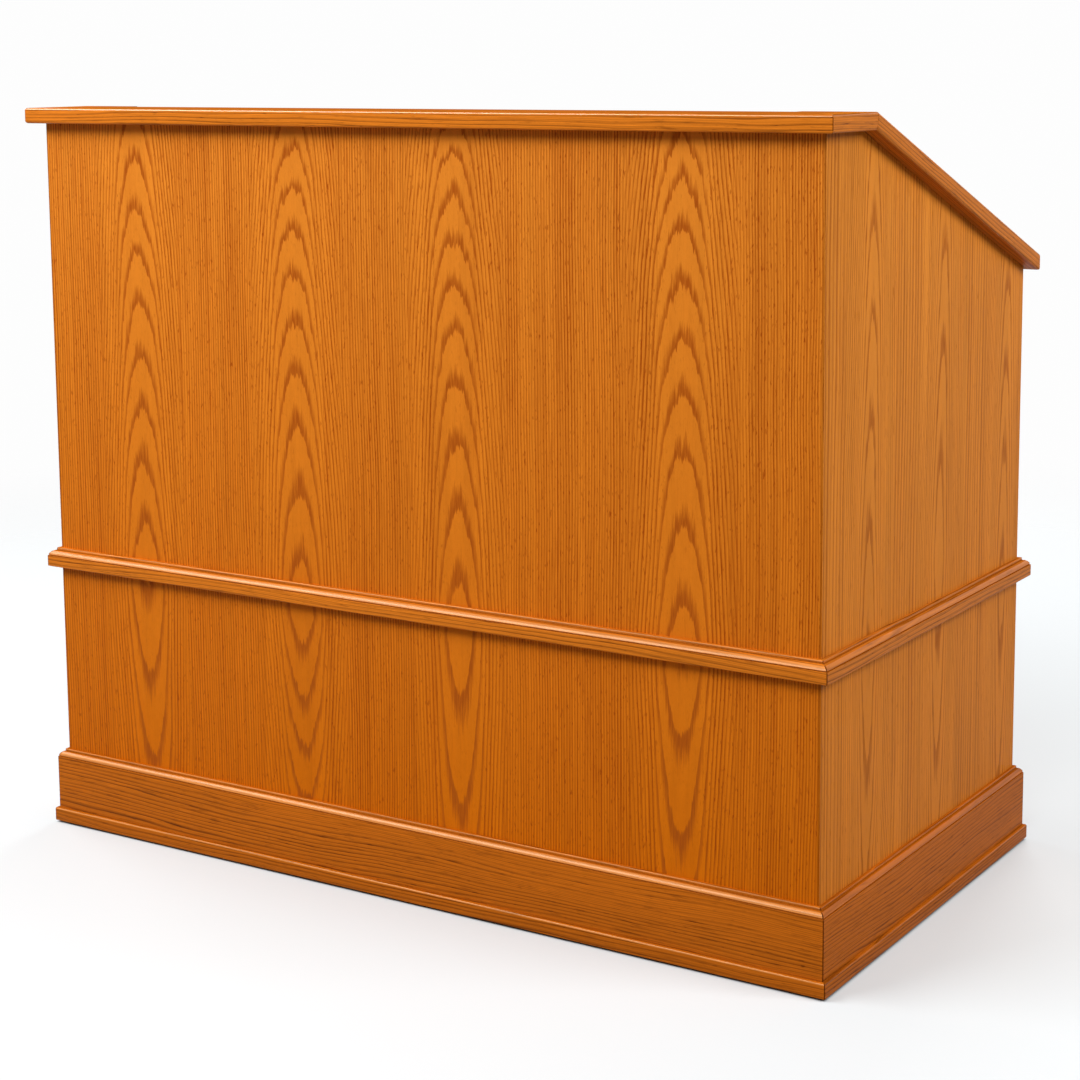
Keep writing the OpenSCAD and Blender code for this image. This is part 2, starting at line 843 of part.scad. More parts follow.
module glides_shape() {
    inset = (shoe_p - panel_t) / 2;
    pair_x()
        for (y = [yf + 48, (yf + yb) / 2, yb - 40])
            translate([hw + inset, y, 0]) {
                cylinder(h = 0.8, d1 = glide_d - 3, d2 = glide_d);
                translate([0, 0, 0.8])
                    cylinder(h = glide_h - 0.8, d = glide_d);
            }
}

// Sub-parts

oak = [0.80, 0.48, 0.20];
veneer = [0.83, 0.51, 0.22];
inner = [0.78, 0.62, 0.42];
steel = [0.72, 0.72, 0.70];
black = [0.10, 0.10, 0.11];
laminate = [0.20, 0.20, 0.21];

module front_panel() { color(veneer) front_panel_shape(); }
module side_panel_left() { color(veneer) side_panel_left_shape(); }
module side_panel_right() { color(veneer) side_panel_shape(); }
module bottom_panel() { color(inner) bottom_panel_shape(); }
module center_partition() { color(inner) center_partition_shape(); }
module rack_partition() { color(inner) rack_partition_shape(); }
module drawer_deck() { color(inner) drawer_deck_shape(); }
module work_surface() { color(laminate) work_surface_shape(); }
module well_riser() { color(veneer) well_riser_shape(); }
module top_shelf() { color(veneer) top_shelf_shape(); }
module nosing_front() { color(oak) nosing_front_shape(); }
module nosing_left() { color(oak) mirror([1, 0, 0]) nosing_side_shape(); }
module nosing_right() { color(oak) nosing_side_shape(); }
module cap_left() { color(oak) mirror([1, 0, 0]) cap_shape(); }
module cap_right() { color(oak) cap_shape(); }
module rear_rail() { color(oak) rear_rail_shape(); }
module chair_rail_front() { color(oak) run_front(chair_line(), chair_p); }
module chair_rail_left() { color(oak) mirror([1, 0, 0]) run_side(chair_line(), chair_p); }
module chair_rail_right() { color(oak) run_side(chair_line(), chair_p); }
module chair_return_left() { color(oak) mirror([1, 0, 0]) chair_return_shape(); }
module chair_return_right() { color(oak) chair_return_shape(); }
module base_front() { color(oak) run_front(base_line(), base_p); }
module base_left() { color(oak) mirror([1, 0, 0]) run_side(base_line(), base_p); }
module base_right() { color(oak) run_side(base_line(), base_p); }
module base_rear() { color(oak) run_rear(base_line(), base_p); }
module shoe_front() { color(oak) run_front(shoe_line(), shoe_p); }
module shoe_left() { color(oak) mirror([1, 0, 0]) run_side(shoe_line(), shoe_p); }
module shoe_right() { color(oak) run_side(shoe_line(), shoe_p); }
module shoe_rear() { color(oak) run_rear(shoe_line(), shoe_p); }
module kick_rail() { color(inner) box(-xi, xi, ys, yb, glide_h, bottom_z); }
module stile_left() { color(oak) mirror([1, 0, 0]) stile_shape(); }
module stile_right() { color(oak) stile_shape(); }
module stile_center() { color(oak) box(-mid_x, mid_x, ys, yb, floor_z, apron_z); }
module apron_rail() { color(oak) apron_rail_shape(); }
module fascia_panel() { color(veneer) box(mid_x, stile_x, ys, yb, deck_top, apron_z); }
module surface_cleats() { color(inner) surface_cleats_shape(); }
module slide_hangers() { color(inner) slide_hangers_shape(); }
module keyboard_tray() { color(laminate) box(tray_x0, tray_x1, ys - tray_d, ys, tray_z, tray_z + tray_t); }
module drawer_front() {
    color(veneer) box(-door_x1, -door_x0, ys, yb, deck_top + door_gap, apron_z - door_gap);
}
module slide_outer() { color(steel) slide_outer_shape(); }
module slide_middle() { color(steel) slide_middle_shape(); }
module slide_inner() { color(steel) slide_inner_shape(); }
module drawer_pull() { color(steel) pull_level(-vent_x(), (deck_top + apron_z) / 2); }
module door_left() { color(veneer) mirror([1, 0, 0]) door_shape(); }
module door_right() { color(veneer) door_right_shape(); }
module hinge_frame_leaves() { color(steel) pair_x() frame_leaves_half(); }
module hinge_pins() { color(steel) pair_x() pins_half(); }
module hinge_leaves_left() { color(steel) mirror([1, 0, 0]) door_leaves_half(); }
module hinge_leaves_right() { color(steel) door_leaves_half(); }
module pull_left() { color(steel) pull_upright(-door_x0 - pull_in, pull_z); }
module pull_right() { color(steel) pull_upright(door_x0 + pull_in, pull_z); }
module lock_barrel() { color(steel) lock_barrel_shape(); }
module lock_cam() { color(steel) lock_cam_shape(); }
module vent_grille() { color(black) vent_grille_shape(); }
module rack_rails() { color(black) rack_rails_shape(); }
module adjustable_shelf() { color(inner) adjustable_shelf_shape(); }
module shelf_pins() { color(steel) shelf_pins_shape(); }
module grommets() { color(black) grommets_shape(); }
module connection_plate() { color(black) connection_plate_shape(); }
module glides() { color(black) glides_shape(); }

front_panel();
side_panel_left();
side_panel_right();
bottom_panel();
center_partition();
rack_partition();
drawer_deck();
work_surface();
well_riser();
top_shelf();
nosing_front();
nosing_left();
nosing_right();
cap_left();
cap_right();
rear_rail();
chair_rail_front();
chair_rail_left();
chair_rail_right();
chair_return_left();
chair_return_right();
base_front();
base_left();
base_right();
base_rear();
shoe_front();
shoe_left();
shoe_right();
shoe_rear();
kick_rail();
stile_left();
stile_right();
stile_center();
apron_rail();
fascia_panel();
surface_cleats();
slide_hangers();
keyboard_tray();
drawer_front();
slide_outer();
slide_middle();
slide_inner();
drawer_pull();
door_left();
door_right();
hinge_frame_leaves();
hinge_pins();
hinge_leaves_left();
hinge_leaves_right();
pull_left();
pull_right();
lock_barrel();
lock_cam();
vent_grille();
rack_rails();
adjustable_shelf();
shelf_pins();
grommets();
connection_plate();
glides();
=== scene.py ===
import bpy, bmesh, math
from mathutils import Vector, Matrix


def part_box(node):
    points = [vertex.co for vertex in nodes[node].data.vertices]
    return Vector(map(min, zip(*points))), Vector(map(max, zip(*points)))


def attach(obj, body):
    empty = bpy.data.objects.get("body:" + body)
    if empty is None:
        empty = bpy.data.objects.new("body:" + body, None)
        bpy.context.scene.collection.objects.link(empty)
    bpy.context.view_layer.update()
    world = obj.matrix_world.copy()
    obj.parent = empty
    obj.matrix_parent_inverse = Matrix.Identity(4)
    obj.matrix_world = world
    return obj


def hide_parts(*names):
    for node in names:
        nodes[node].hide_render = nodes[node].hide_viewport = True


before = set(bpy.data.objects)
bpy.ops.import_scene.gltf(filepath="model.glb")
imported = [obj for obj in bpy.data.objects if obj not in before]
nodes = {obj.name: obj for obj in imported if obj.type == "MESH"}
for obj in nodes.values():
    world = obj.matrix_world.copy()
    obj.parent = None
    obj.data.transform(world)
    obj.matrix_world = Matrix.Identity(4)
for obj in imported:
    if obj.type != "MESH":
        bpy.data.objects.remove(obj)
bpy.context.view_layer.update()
scene = bpy.context.scene


# Node trees: a value with arithmetic, so that a pattern is written as a formula

class Val:
    """The value of a socket."""

    def __init__(self, tree, sock):
        self.tree, self.sock = tree, sock

    def op(self, name, *others, clamp=False):
        return calc(self.tree, name, self, *others, clamp=clamp)

    def __add__(self, o): return self.op("ADD", o)
    def __radd__(self, o): return self.op("ADD", o)
    def __sub__(self, o): return self.op("SUBTRACT", o)
    def __rsub__(self, o): return calc(self.tree, "SUBTRACT", o, self)
    def __mul__(self, o): return self.op("MULTIPLY", o)
    def abs(self): return self.op("ABSOLUTE")
    def sqrt(self): return self.op("SQRT")
    def fract(self): return self.op("FRACT")
    def min(self, o): return self.op("MINIMUM", o)
    def max(self, o): return self.op("MAXIMUM", o)
    def less(self, o): return self.op("LESS_THAN", o)


def put(tree, sock, v):
    """v into an input: a link from a value, or else a constant."""
    if isinstance(v, Val):
        tree.links.new(v.sock, sock)
    else:
        sock.default_value = v


def calc(tree, name, *args, clamp=False):
    """A math node."""
    n = tree.nodes.new("ShaderNodeMath")
    n.operation = name
    n.use_clamp = clamp
    for i, a in enumerate(args):
        put(tree, n.inputs[i], a)
    return Val(tree, n.outputs[0])


def ramp(v, lo, hi, out0=0.0, out1=1.0, smooth=True):
    """v from lo to hi, mapped to out0 to out1 and held outside."""
    n = v.tree.nodes.new("ShaderNodeMapRange")
    n.interpolation_type = "SMOOTHSTEP" if smooth else "LINEAR"
    for i, a in enumerate((v, lo, hi, out0, out1)):
        put(v.tree, n.inputs[i], a)
    return Val(v.tree, n.outputs[0])


def vec(tree, x, y, z):
    """A vector of three values."""
    n = tree.nodes.new("ShaderNodeCombineXYZ")
    for i, a in enumerate((x, y, z)):
        put(tree, n.inputs[i], a)
    return Val(tree, n.outputs[0])


def noise(x, y, z, detail=2.0, rough=0.5):
    """Noise of about -1 to 1 at a point given in cells."""
    tree = next(v.tree for v in (x, y, z) if isinstance(v, Val))
    n = tree.nodes.new("ShaderNodeTexNoise")
    put(tree, n.inputs["Vector"], vec(tree, x, y, z))
    n.inputs["Scale"].default_value = 1.0
    n.inputs["Detail"].default_value = detail
    n.inputs["Roughness"].default_value = rough
    return (Val(tree, n.outputs[0]) - 0.5) * 2.0


def blend(fac, a, b):
    """Colour a where fac is 0 and b where it is 1."""
    n = fac.tree.nodes.new("ShaderNodeMix")
    n.data_type = "RGBA"
    put(fac.tree, n.inputs[0], fac)
    for i, c in ((6, a), (7, b)):
        put(fac.tree, n.inputs[i], c if isinstance(c, Val) else (*c, 1.0))
    return Val(fac.tree, n.outputs[2])


def scaled(colour, k):
    """A colour times a number."""
    n = k.tree.nodes.new("ShaderNodeVectorMath")
    n.operation = "SCALE"
    put(k.tree, n.inputs[0], colour)
    put(k.tree, n.inputs["Scale"], k)
    return Val(k.tree, n.outputs[0])


def new_material(name):
    """A material, its tree, its Principled shader and the object coordinates, which are world metres at rest."""
    m = bpy.data.materials.new(name)
    m.use_nodes = True
    tree = m.node_tree
    tree.nodes.clear()
    out = tree.nodes.new("ShaderNodeOutputMaterial")
    bsdf = tree.nodes.new("ShaderNodeBsdfPrincipled")
    tree.links.new(bsdf.outputs[0], out.inputs["Surface"])
    tc = tree.nodes.new("ShaderNodeTexCoord")
    sep = tree.nodes.new("ShaderNodeSeparateXYZ")
    tree.links.new(tc.outputs["Object"], sep.inputs[0])
    x, y, z = (Val(tree, sep.outputs[i]) for i in range(3))
    return m, tree, bsdf, (x, y, z)


def finish_surface(tree, bsdf, colour, rough, height=None, depth=0.0002, spec=0.3, metal=0.0):
    """Colour, roughness and a bump of height times depth in metres, with a fixed specular level."""
    put(tree, bsdf.inputs["Base Color"], colour if isinstance(colour, Val) else (*colour, 1.0))
    put(tree, bsdf.inputs["Roughness"], rough)
    bsdf.inputs["Specular IOR Level"].default_value = spec
    bsdf.inputs["Metallic"].default_value = metal
    if height is not None:
        b = tree.nodes.new("ShaderNodeBump")
        b.inputs["Strength"].default_value = 1.0
        b.inputs["Distance"].default_value = depth
        put(tree, b.inputs["Height"], height)
        tree.links.new(b.outputs[0], bsdf.inputs["Normal"])


# Oak veneer, cut flat: stacked arches in columns, straight fine lines between them

TINT = (1.0, 0.66, 0.36)  # of the lacquer's sheen

# Light tone at the foot and at the head, the head painted lighter and paler as light and sheen from above;
# straight lines, arches
FRONT = (((0.705, 0.172, 0.0025), (0.800, 0.256, 0.0240)), (0.330, 0.052, 0.0016), (0.390, 0.080, 0.0050))
SIDE = (((0.690, 0.218, 0.0210), (0.700, 0.242, 0.0270)), (0.410, 0.108, 0.0080), (0.390, 0.100, 0.0080))
TONE_FOOT, TONE_HEAD = 0.12, 1.06


def veneer(name, across, up, deep, columns, colours=FRONT, strength=1.0, seed=0.0, reach_a=0.030, jag=0.020,
           spec=0.10, rate=(180.0, 0.0), grain=1.0, uneven=0.8, panel=None):
    """columns: centre, height of the middle, rings per metre above it, their growth, those below, an offset.
    strength: of all marks. reach_a: half width of the arches. jag: how ragged their tips are. rate: straight
    lines to the metre and how they tighten across. grain: scale of the fine marks. uneven: how much the
    straight lines differ. panel: the box of a panel whose upright edges have darkened."""
    m, tree, bsdf, axes = new_material(name)
    light, line_dark, dark = colours
    u, z, w = axes[across], axes[up], axes[deep] + seed
    knee, bend_at = 0.045, 0.030

    # The height field whose whole numbers are rings: arches near a column's centre, steep legs beyond the knee
    uu = u + noise(u * 2.6, w, z * 2.4, 1.0) * 0.007 + noise(u * 14.0, w, z * 4.0, 1.0) * 0.0016
    comb = noise(u * 260.0, w, z * 20.0, 3.0, 0.65) * jag
    zz = z + comb + noise(u * 60.0, w, z * 9.0, 2.0) * 0.016 + noise(u * 5.0, w, z * 5.0, 1.0) * 0.014
    field = reach = None
    for c, zb, rise, grow, fall, off in columns:
        dz = zz - zb
        v = (dz * (dz * grow + rise)).max(dz * -fall)
        du = (uu - c).abs()
        near = du.min(knee)
        bend = (near - bend_at).max(0.0)
        f = near * near * (1.0 / (reach_a * reach_a)) + bend * bend * 2600.0 + (du - near) * 172.0 + v + off
        if field is None:
            field, reach = f, du
        else:
            t = du.less(reach)
            field = field + (f - field) * t
            reach = reach.min(du)
    phase = (field + noise(u * 16.0, w, z * 3.0, 1.0) * 0.14).fract()
    leg = ramp(reach, 0.018, 0.046)
    far = ramp(reach, 0.064, 0.090)
    width = noise(u * 24.0, w, z * 7.0, 1.0) * 0.10 + leg * 0.14 + 0.42
    teeth = noise(u * (420.0 * grain), w, z * 24.0, 2.0, 0.6) * 0.26
    band = 1.0 - ramp(phase + teeth * (1.0 - leg), 0.18 - leg * 0.08, width, 0.0, 1.0, False)
    band = band * ramp(phase, 0.0, 0.06 + leg * 0.10)

    # Straight lines between the columns
    straight = uu * (uu * rate[1] + rate[0]) + noise(u * 9.0, w, z * 1.1, 1.0) * 0.8
    straight = (straight + noise(u * 60.0, w, z * 1.8, 1.0) * 0.26).fract()
    rule = (1.0 - ramp(straight, 0.14, 0.60, 0.0, 1.0, False)) * ramp(straight, 0.0, 0.16)
    vary = (noise(u * (150.0 * grain), w, z * 1.8, 1.0) * uneven + 0.90).max(0.05)
    stripe = noise(u * (60.0 * grain), w + 8.0, z * 2.2, 2.0, 0.6)
    rings = band + (rule - band) * far

    # Fine marks
    hatch = noise(u * (520.0 * grain), w, z * 30.0, 2.0, 0.6)
    fine = ramp(noise(u * (560.0 * grain), w + 2.0, z * 1.6, 2.0, 0.6), -0.25, 0.45)
    dash = ramp(noise(u * (330.0 * grain), w + 6.0, z * 14.0, 2.0, 0.6), 0.10, 0.50)
    pore = ramp(noise(u * 480.0, w, z * (110.0 * grain), 1.0), 0.26, 0.50)
    speck = noise(u * 800.0, w, z * 260.0, 2.0, 0.7)
    mottle = noise(u * 130.0, w, z * 70.0, 3.0, 0.6)
    cloud = noise(u * 7.0, w, z * 1.3, 3.0, 0.6)
    red = ramp(noise(u * 26.0, w + 4.0, z * 1.6, 2.0), 0.0, 0.55)

    lines = rings * leg * vary * 0.80 + fine * (leg * 0.22 + 0.04) + speck * 0.07 + red * 0.10
    lines = lines + mottle * (0.10 - leg * 0.03) + pore * (leg * 0.34 + 0.14) + (1.0 - leg) * 0.12
    lines = lines + dash * (leg * 0.16 + 0.10)
    lines = (lines * strength).op("ADD", 0.02, clamp=True)
    crest = (band * (1.0 - leg * 0.70) * (hatch * 0.70 + 0.88) * strength).op("ADD", 0.0, clamp=True)
    # Painted light: the light tone turns lighter and paler from foot to head, standing in for the brighter light
    # and sheen up there
    tone = blend(ramp(z, TONE_FOOT, TONE_HEAD, smooth=False), *light)
    colour = blend(crest, blend(lines, tone, line_dark), dark)
    colour = scaled(colour, cloud * 0.06 + stripe * (uneven * 0.11) + 1.01)
    if panel:
        rim = ramp(u.abs(), panel[1].x - 0.0045, panel[1].x - 0.0015)
        rim = rim * ramp(axes[deep], panel[0].y + 0.0012, panel[0].y + 0.0004)
        colour = scaled(colour, 1.0 - rim * 0.30)
    rough = band * 0.05 + speck * 0.03 + pore * 0.10 + 0.36
    finish_surface(tree, bsdf, colour, rough, speck * 0.3 - pore * 0.8 - rings * 0.3, 0.00008, spec=spec)
    bsdf.inputs["Specular Tint"].default_value = (*TINT, 1.0)
    return m


# The columns of the front and of the side, as in the photograph, and those of the doors
FRONT_COLUMNS = [(-0.4725, 0.40, 11.02, 2.49, 7.96, 4.94), (-0.1775, 0.40, 7.23, 8.67, 12.5, 4.49),
                 (0.0985, 0.40, 7.06, 9.10, 6.17, 4.51), (0.4494, 0.40, 7.69, 7.38, 7.93, 4.32)]
SIDE_COLUMNS = [(-0.200, 0.43, 6.0, 2.0, 6.0, 0.1), (0.034, 0.50, 5.0, 3.0, 6.0, 0.4),
                (0.272, 0.40, 6.0, 3.0, 5.0, 0.7)]
DOOR_COLUMNS = [(x, 0.30, 9.0, 4.0, 9.0, 0.2) for x in (-0.302, 0.302)]


# Solid oak, with its grain along one axis

def ring(phase, soft, reach):
    """One growth ring: dark at whole numbers, fading by reach."""
    phase = phase.fract()
    return (1.0 - ramp(phase, 0.12, reach, 0.0, 1.0, False)) * ramp(phase, 0.0, soft)


def solid_oak(name, along, seed=0.0, light=(0.730, 0.201, 0.0140), dark=(0.110, 0.019, 0.0010), spec=0.10,
              gloss=0.0, shine=0.29, tilt=0.0, tint=TINT, wander=0.5):
    """gloss, shine: specular level and roughness of a polished moulding. tilt: how far the grain along y falls,
    in degrees. wander: how far the grain strays from the edges and gathers in clumps."""
    wide_pitch, slim_pitch = 0.0060, 0.0060 / 2.3
    m, tree, bsdf, axes = new_material(name)
    axes = list(axes)
    if tilt:
        cs, sn = math.cos(math.radians(tilt)), math.sin(math.radians(tilt))
        y, z = axes[1], axes[2]
        axes[1], axes[2] = y * cs - z * sn, y * sn + z * cs
    l = axes[along]
    a, b = (axes[i] + seed for i in range(3) if i != along)
    bow = noise(l * 1.3, a * 6.0, b * 6.0, 1.0) * 0.012 + noise(l * 5.0, a * 18.0, b * 22.0, 2.0) * 0.0034
    r = a * 0.75 + b + bow + noise(l * 3.0, a * 5.0, b * 8.0, 1.0) * (0.010 * wander)
    clump = noise(l * 1.4, a * 30.0, b * 30.0, 1.0) * wander
    vary = noise(l * 1.8, a * 90.0, b * 90.0, 1.0) * 0.9 + noise(l * 9.0, a * 150.0, b * 150.0, 1.0) * 0.4
    drift = noise(l * 0.8, a * 34.0, b * 34.0, 1.0) * 1.3 + noise(l * 4.0, a * 80.0, b * 80.0, 2.0) * 0.35
    wide = ring(r * (1.0 / wide_pitch) + drift, 0.14, 0.56)
    wide = wide * (vary + clump * 1.1 + 0.85).max(0.0)
    slim = ring(r * (1.0 / slim_pitch) + noise(l * 4.0, a * 70.0, b * 70.0, 2.0) * 0.45, 0.18, 0.70)
    slim = slim * (0.85 - vary - clump * 0.7).max(0.0)
    stroke = noise(l * 24.0, a * 300.0, b * 300.0, 2.0, 0.6)
    dash = ramp(stroke, 0.10, 0.50)
    gleam = ramp(stroke, -0.12, -0.50)
    fibre = noise(l * 14.0, a * 650.0, b * 650.0, 3.0, 0.65)
    pore = ramp(noise(l * 70.0, a * 480.0, b * 480.0, 1.0), 0.32, 0.54)
    speck = noise(l * 220.0, a * 900.0, b * 900.0, 2.0, 0.7)
    cloud = noise(l * 2.5, a * 12.0, b * 12.0, 2.0)
    amount = wide * 0.54 + slim * 0.30 + dash * (0.22 + 0.12 * wander) + pore * (wide * 0.20 + 0.20)
    amount = amount + fibre * 0.10 + speck * 0.06
    amount = (amount * (0.75 if gloss else 1.0)).op("ADD", 0.0, clamp=True)
    colour = scaled(blend(amount, light, dark), cloud * 0.10 - clump * 0.10 + gleam * 0.16 + 0.99)
    if gloss:
        finish_surface(tree, bsdf, colour, fibre * 0.03 + shine, fibre * 0.2 - pore * 0.4, 0.00002, spec=gloss)
    else:
        relief = fibre * 0.3 - pore * 0.8 - wide * 0.3
        finish_surface(tree, bsdf, colour, speck * 0.03 + pore * 0.10 + 0.34, relief, 0.00008, spec=spec)
    bsdf.inputs["Specular Tint"].default_value = (*tint, 1.0)
    return m


def board(name, along, seed=0.0, light=(0.64, 0.43, 0.225), dark=(0.46, 0.28, 0.125)):
    """Pale lacquered board of the inside."""
    m, tree, bsdf, axes = new_material(name)
    l = axes[along]
    a, b = (axes[i] + seed for i in range(3) if i != along)
    wave = noise(l * 1.2, a * 5.0, b * 5.0, 2.0) * 0.035
    phase = ((a + b * 0.4 + wave) * 62.0).fract()
    band = (1.0 - ramp(phase, 0.1, 0.9, 0.0, 1.0)) * ramp(phase, 0.0, 0.1)
    fibre = noise(l * 14.0, a * 420.0, b * 420.0, 3.0, 0.6)
    fleck = ramp(noise(l * 60.0, a * 700.0, b * 700.0, 1.0), 0.30, 0.55)
    cloud = noise(l * 2.0, a * 4.0, b * 4.0, 3.0)
    amount = (band * 0.35 + fibre * 0.22 + fleck * 0.25 + cloud * 0.15).op("ADD", 0.25, clamp=True)
    finish_surface(tree, bsdf, blend(amount, light, dark), fibre * 0.04 + 0.48, fibre, 0.00006)
    return m


def laminate_top(name):
    """Dark matt laminate with a fine speckle."""
    m, tree, bsdf, (x, y, z) = new_material(name)
    base = (0.028, 0.028, 0.031)
    speck = noise(x * 1400.0, y * 1400.0, z * 1400.0, 3.0, 0.7)
    cloud = noise(x * 6.0, y * 6.0, z * 6.0, 2.0)
    colour = blend((speck * 0.5 + cloud * 0.2).op("ADD", 0.4, clamp=True), base, tuple(c * 1.9 for c in base))
    finish_surface(tree, bsdf, colour, speck * 0.05 + 0.50, speck, 0.00005, spec=0.4)
    return m


def metal(name, along, base, rough=0.3):
    """Metal brushed along one axis."""
    m, tree, bsdf, axes = new_material(name)
    l = axes[along]
    a, b = (axes[i] for i in range(3) if i != along)
    line = noise(l * 25.0, a * 3200.0, b * 3200.0, 3.0, 0.7)
    smear = noise(l * 18.0, a * 22.0, b * 22.0, 3.0)
    colour = blend((line * 0.5 + 0.5).op("ADD", 0.0, clamp=True), base, tuple(c * 0.86 for c in base))
    colour = scaled(colour, smear * 0.05 + 1.0)
    finish_surface(tree, bsdf, colour, line * 0.10 + smear * 0.05 + rough, line, 0.00002, spec=0.5, metal=1.0)
    return m


def paint(name, base, rough=0.42, grain=900.0):
    """Powder coat or moulded plastic: an even colour with a fine peel."""
    m, tree, bsdf, (x, y, z) = new_material(name)
    peel = noise(x * grain, y * grain, z * grain, 2.0)
    wear = noise(x * 30.0, y * 30.0, z * 30.0, 3.0)
    colour = blend((wear * 0.5 + 0.5).op("ADD", 0.0, clamp=True), base, tuple(c * 1.35 + 0.002 for c in base))
    finish_surface(tree, bsdf, colour, peel * 0.04 + wear * 0.04 + rough, peel, 0.00006, spec=0.45)
    return m


# Tones of the solid oak: END and FOOT are painted darker as shade, where the end and the foot are lit less well;
# RAIL is darker than the front oak too
SLOPE = 20.91  # of the caps, in degrees
END = {"light": (0.520, 0.130, 0.0080), "dark": (0.100, 0.019, 0.0012), "wander": 0.8}
FOOT = {"light": (0.590, 0.146, 0.0070), "dark": (0.105, 0.018, 0.0008), "wander": 1.0}
RAIL = {"light": (0.605, 0.174, 0.0160), "dark": (0.115, 0.024, 0.0028), "wander": 0.6}
CAP = {**RAIL, "tilt": SLOPE}
# Painted highlight: a lighter, yellower colour on the polished faces of the front mouldings, besides their real
# gloss
POLISH_PAINTED_HIGHLIGHT = {"light": (0.770, 0.265, 0.0480), "dark": (0.230, 0.056, 0.0060), "gloss": 0.45,
          "tint": (1.0, 0.88, 0.66)}

M = {
    "front": veneer("veneer_front", 0, 2, 1, FRONT_COLUMNS, rate=(225.0, 10.0), spec=0.07,
                    panel=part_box("front_panel")),
    "side": veneer("veneer_side", 1, 2, 0, SIDE_COLUMNS, SIDE, strength=0.95, seed=3.0, reach_a=0.020, jag=0.03,
                   spec=0.02, rate=(106.0, 0.0), grain=0.5, uneven=1.5),
    "doors": veneer("veneer_doors", 0, 2, 1, DOOR_COLUMNS, seed=5.0),
    # Painted shade: the shelf and riser in a darker oak than the rest, to keep their brightly lit upper faces
    # dark
    "shelf": solid_oak("veneer_shelf_painted_shade", 0, 7.0, (0.470, 0.128, 0.0130), (0.210, 0.045, 0.0040), 0.0),
    "oak_x": solid_oak("oak_along_x", 0),
    "oak_x_polish": solid_oak("oak_along_x_polished_painted_highlight", 0, **POLISH_PAINTED_HIGHLIGHT),
    # Painted shade: the front nosing's upper faces in a darker colour than the rest of the oak
    "oak_x_top": solid_oak("oak_along_x_top_painted_shade", 0, light=(0.560, 0.148, 0.0130), spec=0.0),
    "oak_x_soft": solid_oak("oak_along_x_soft", 0, spec=0.0),
    "oak_edge_polish": solid_oak("oak_edge_polished", 0, gloss=0.75, shine=0.20, tint=(1.0, 0.90, 0.70)),
    "foot_x": solid_oak("oak_foot_along_x", 0, 1.0, **FOOT),
    "foot_x_polish": solid_oak("oak_foot_along_x_polished_painted_highlight", 0, 1.0, **POLISH_PAINTED_HIGHLIGHT),
    "foot_x_top": solid_oak("oak_foot_along_x_top", 0, 1.0, spec=0.0, **FOOT),
    "oak_z": solid_oak("oak_along_z", 2, 4.0),
    # Painted shade: a dark colour laid in the creases of the mouldings
    "groove": solid_oak("oak_groove_painted_shade", 2, 6.0, (0.360, 0.086, 0.0060), (0.200, 0.040, 0.0030), 0.0),
    "joint": solid_oak("oak_joint", 2, 6.0, (0.170, 0.036, 0.0030), (0.080, 0.016, 0.0015), 0.0),
    "birch_x": board("birch_along_x", 0),
    "birch_z": board("birch_along_z", 2, 3.0),
    "laminate": laminate_top("laminate_charcoal"),
    "steel": metal("steel_zinc", 1, (0.52, 0.52, 0.51), 0.32),
    "nickel": metal("nickel_satin", 0, (0.58, 0.55, 0.50), 0.26),
    "gold": metal("contact_gold", 2, (0.80, 0.56, 0.20), 0.25),
    # Painted shade: near black, laid in the recesses of screw heads, the openings of the sockets and the bores of
    # nuts and contacts
    "hole": paint("socket_hole_painted_shade", (0.004, 0.004, 0.004), 0.8, 1500.0),
    "black_metal": paint("black_powder_coat", (0.018, 0.018, 0.020)),
    "black_plastic": paint("black_plastic", (0.022, 0.022, 0.024), 0.5, 1500.0),
}
for key, name, along, seed, tones in (("oak_y", "oak_along_y", 1, 2.0, END), ("cap", "oak_cap", 1, 5.0, CAP),
                                      ("rail_x", "oak_rail_along_x", 0, 8.0, RAIL),
                                      ("rail_y", "oak_rail_along_y", 1, 3.0, RAIL)):
    M[key] = solid_oak(name, along, seed, spec=0.03, **tones)
    M[key + "_polish"] = solid_oak(name + "_polished", along, seed, gloss=0.20, **tones)
    M[key + "_top"] = solid_oak(name + "_top", along, seed, spec=0.0, **tones)

CLOTHES = {
    "front": ["front_panel"],
    "side": ["side_panel_left", "side_panel_right"],
    "doors": ["door_left", "door_right", "fascia_panel"],
    "shelf": ["top_shelf", "well_riser"],
    "oak_x": ["nosing_front", "chair_rail_front", "apron_rail", "drawer_front", "chair_return_left",
              "chair_return_right"],
    "rail_x": ["rear_rail"],
    "foot_x": ["base_front", "base_rear", "shoe_front", "shoe_rear", "kick_rail"],
    "oak_y": ["base_left", "base_right", "shoe_left", "shoe_right"],
    "rail_y": ["nosing_left", "nosing_right", "chair_rail_left", "chair_rail_right"],
    "cap": ["cap_left", "cap_right"],
    "oak_z": ["stile_left", "stile_right", "stile_center"],
    "birch_x": ["bottom_panel", "drawer_deck", "adjustable_shelf", "surface_cleats", "slide_hangers"],
    "birch_z": ["center_partition", "rack_partition"],
    "laminate": ["work_surface", "keyboard_tray"],
    "steel": ["slide_outer", "slide_middle", "slide_inner", "hinge_pins", "lock_cam", "shelf_pins"],
    "nickel": ["hinge_frame_leaves", "hinge_leaves_left", "hinge_leaves_right", "pull_left", "pull_right",
               "drawer_pull", "lock_barrel"],
    "black_metal": ["vent_grille", "rack_rails"],
    "black_plastic": ["grommets", "connection_plate", "glides"],
}
for key, names in CLOTHES.items():
    for name in names:
        o = nodes[name]
        if not o.material_slots:
            o.data.materials.append(M[key])
        for s in o.material_slots:
            s.material = M[key]

# Mouldings: smooth profiles along the CAD runs, as projection and height in millimetres, mitred at the corners

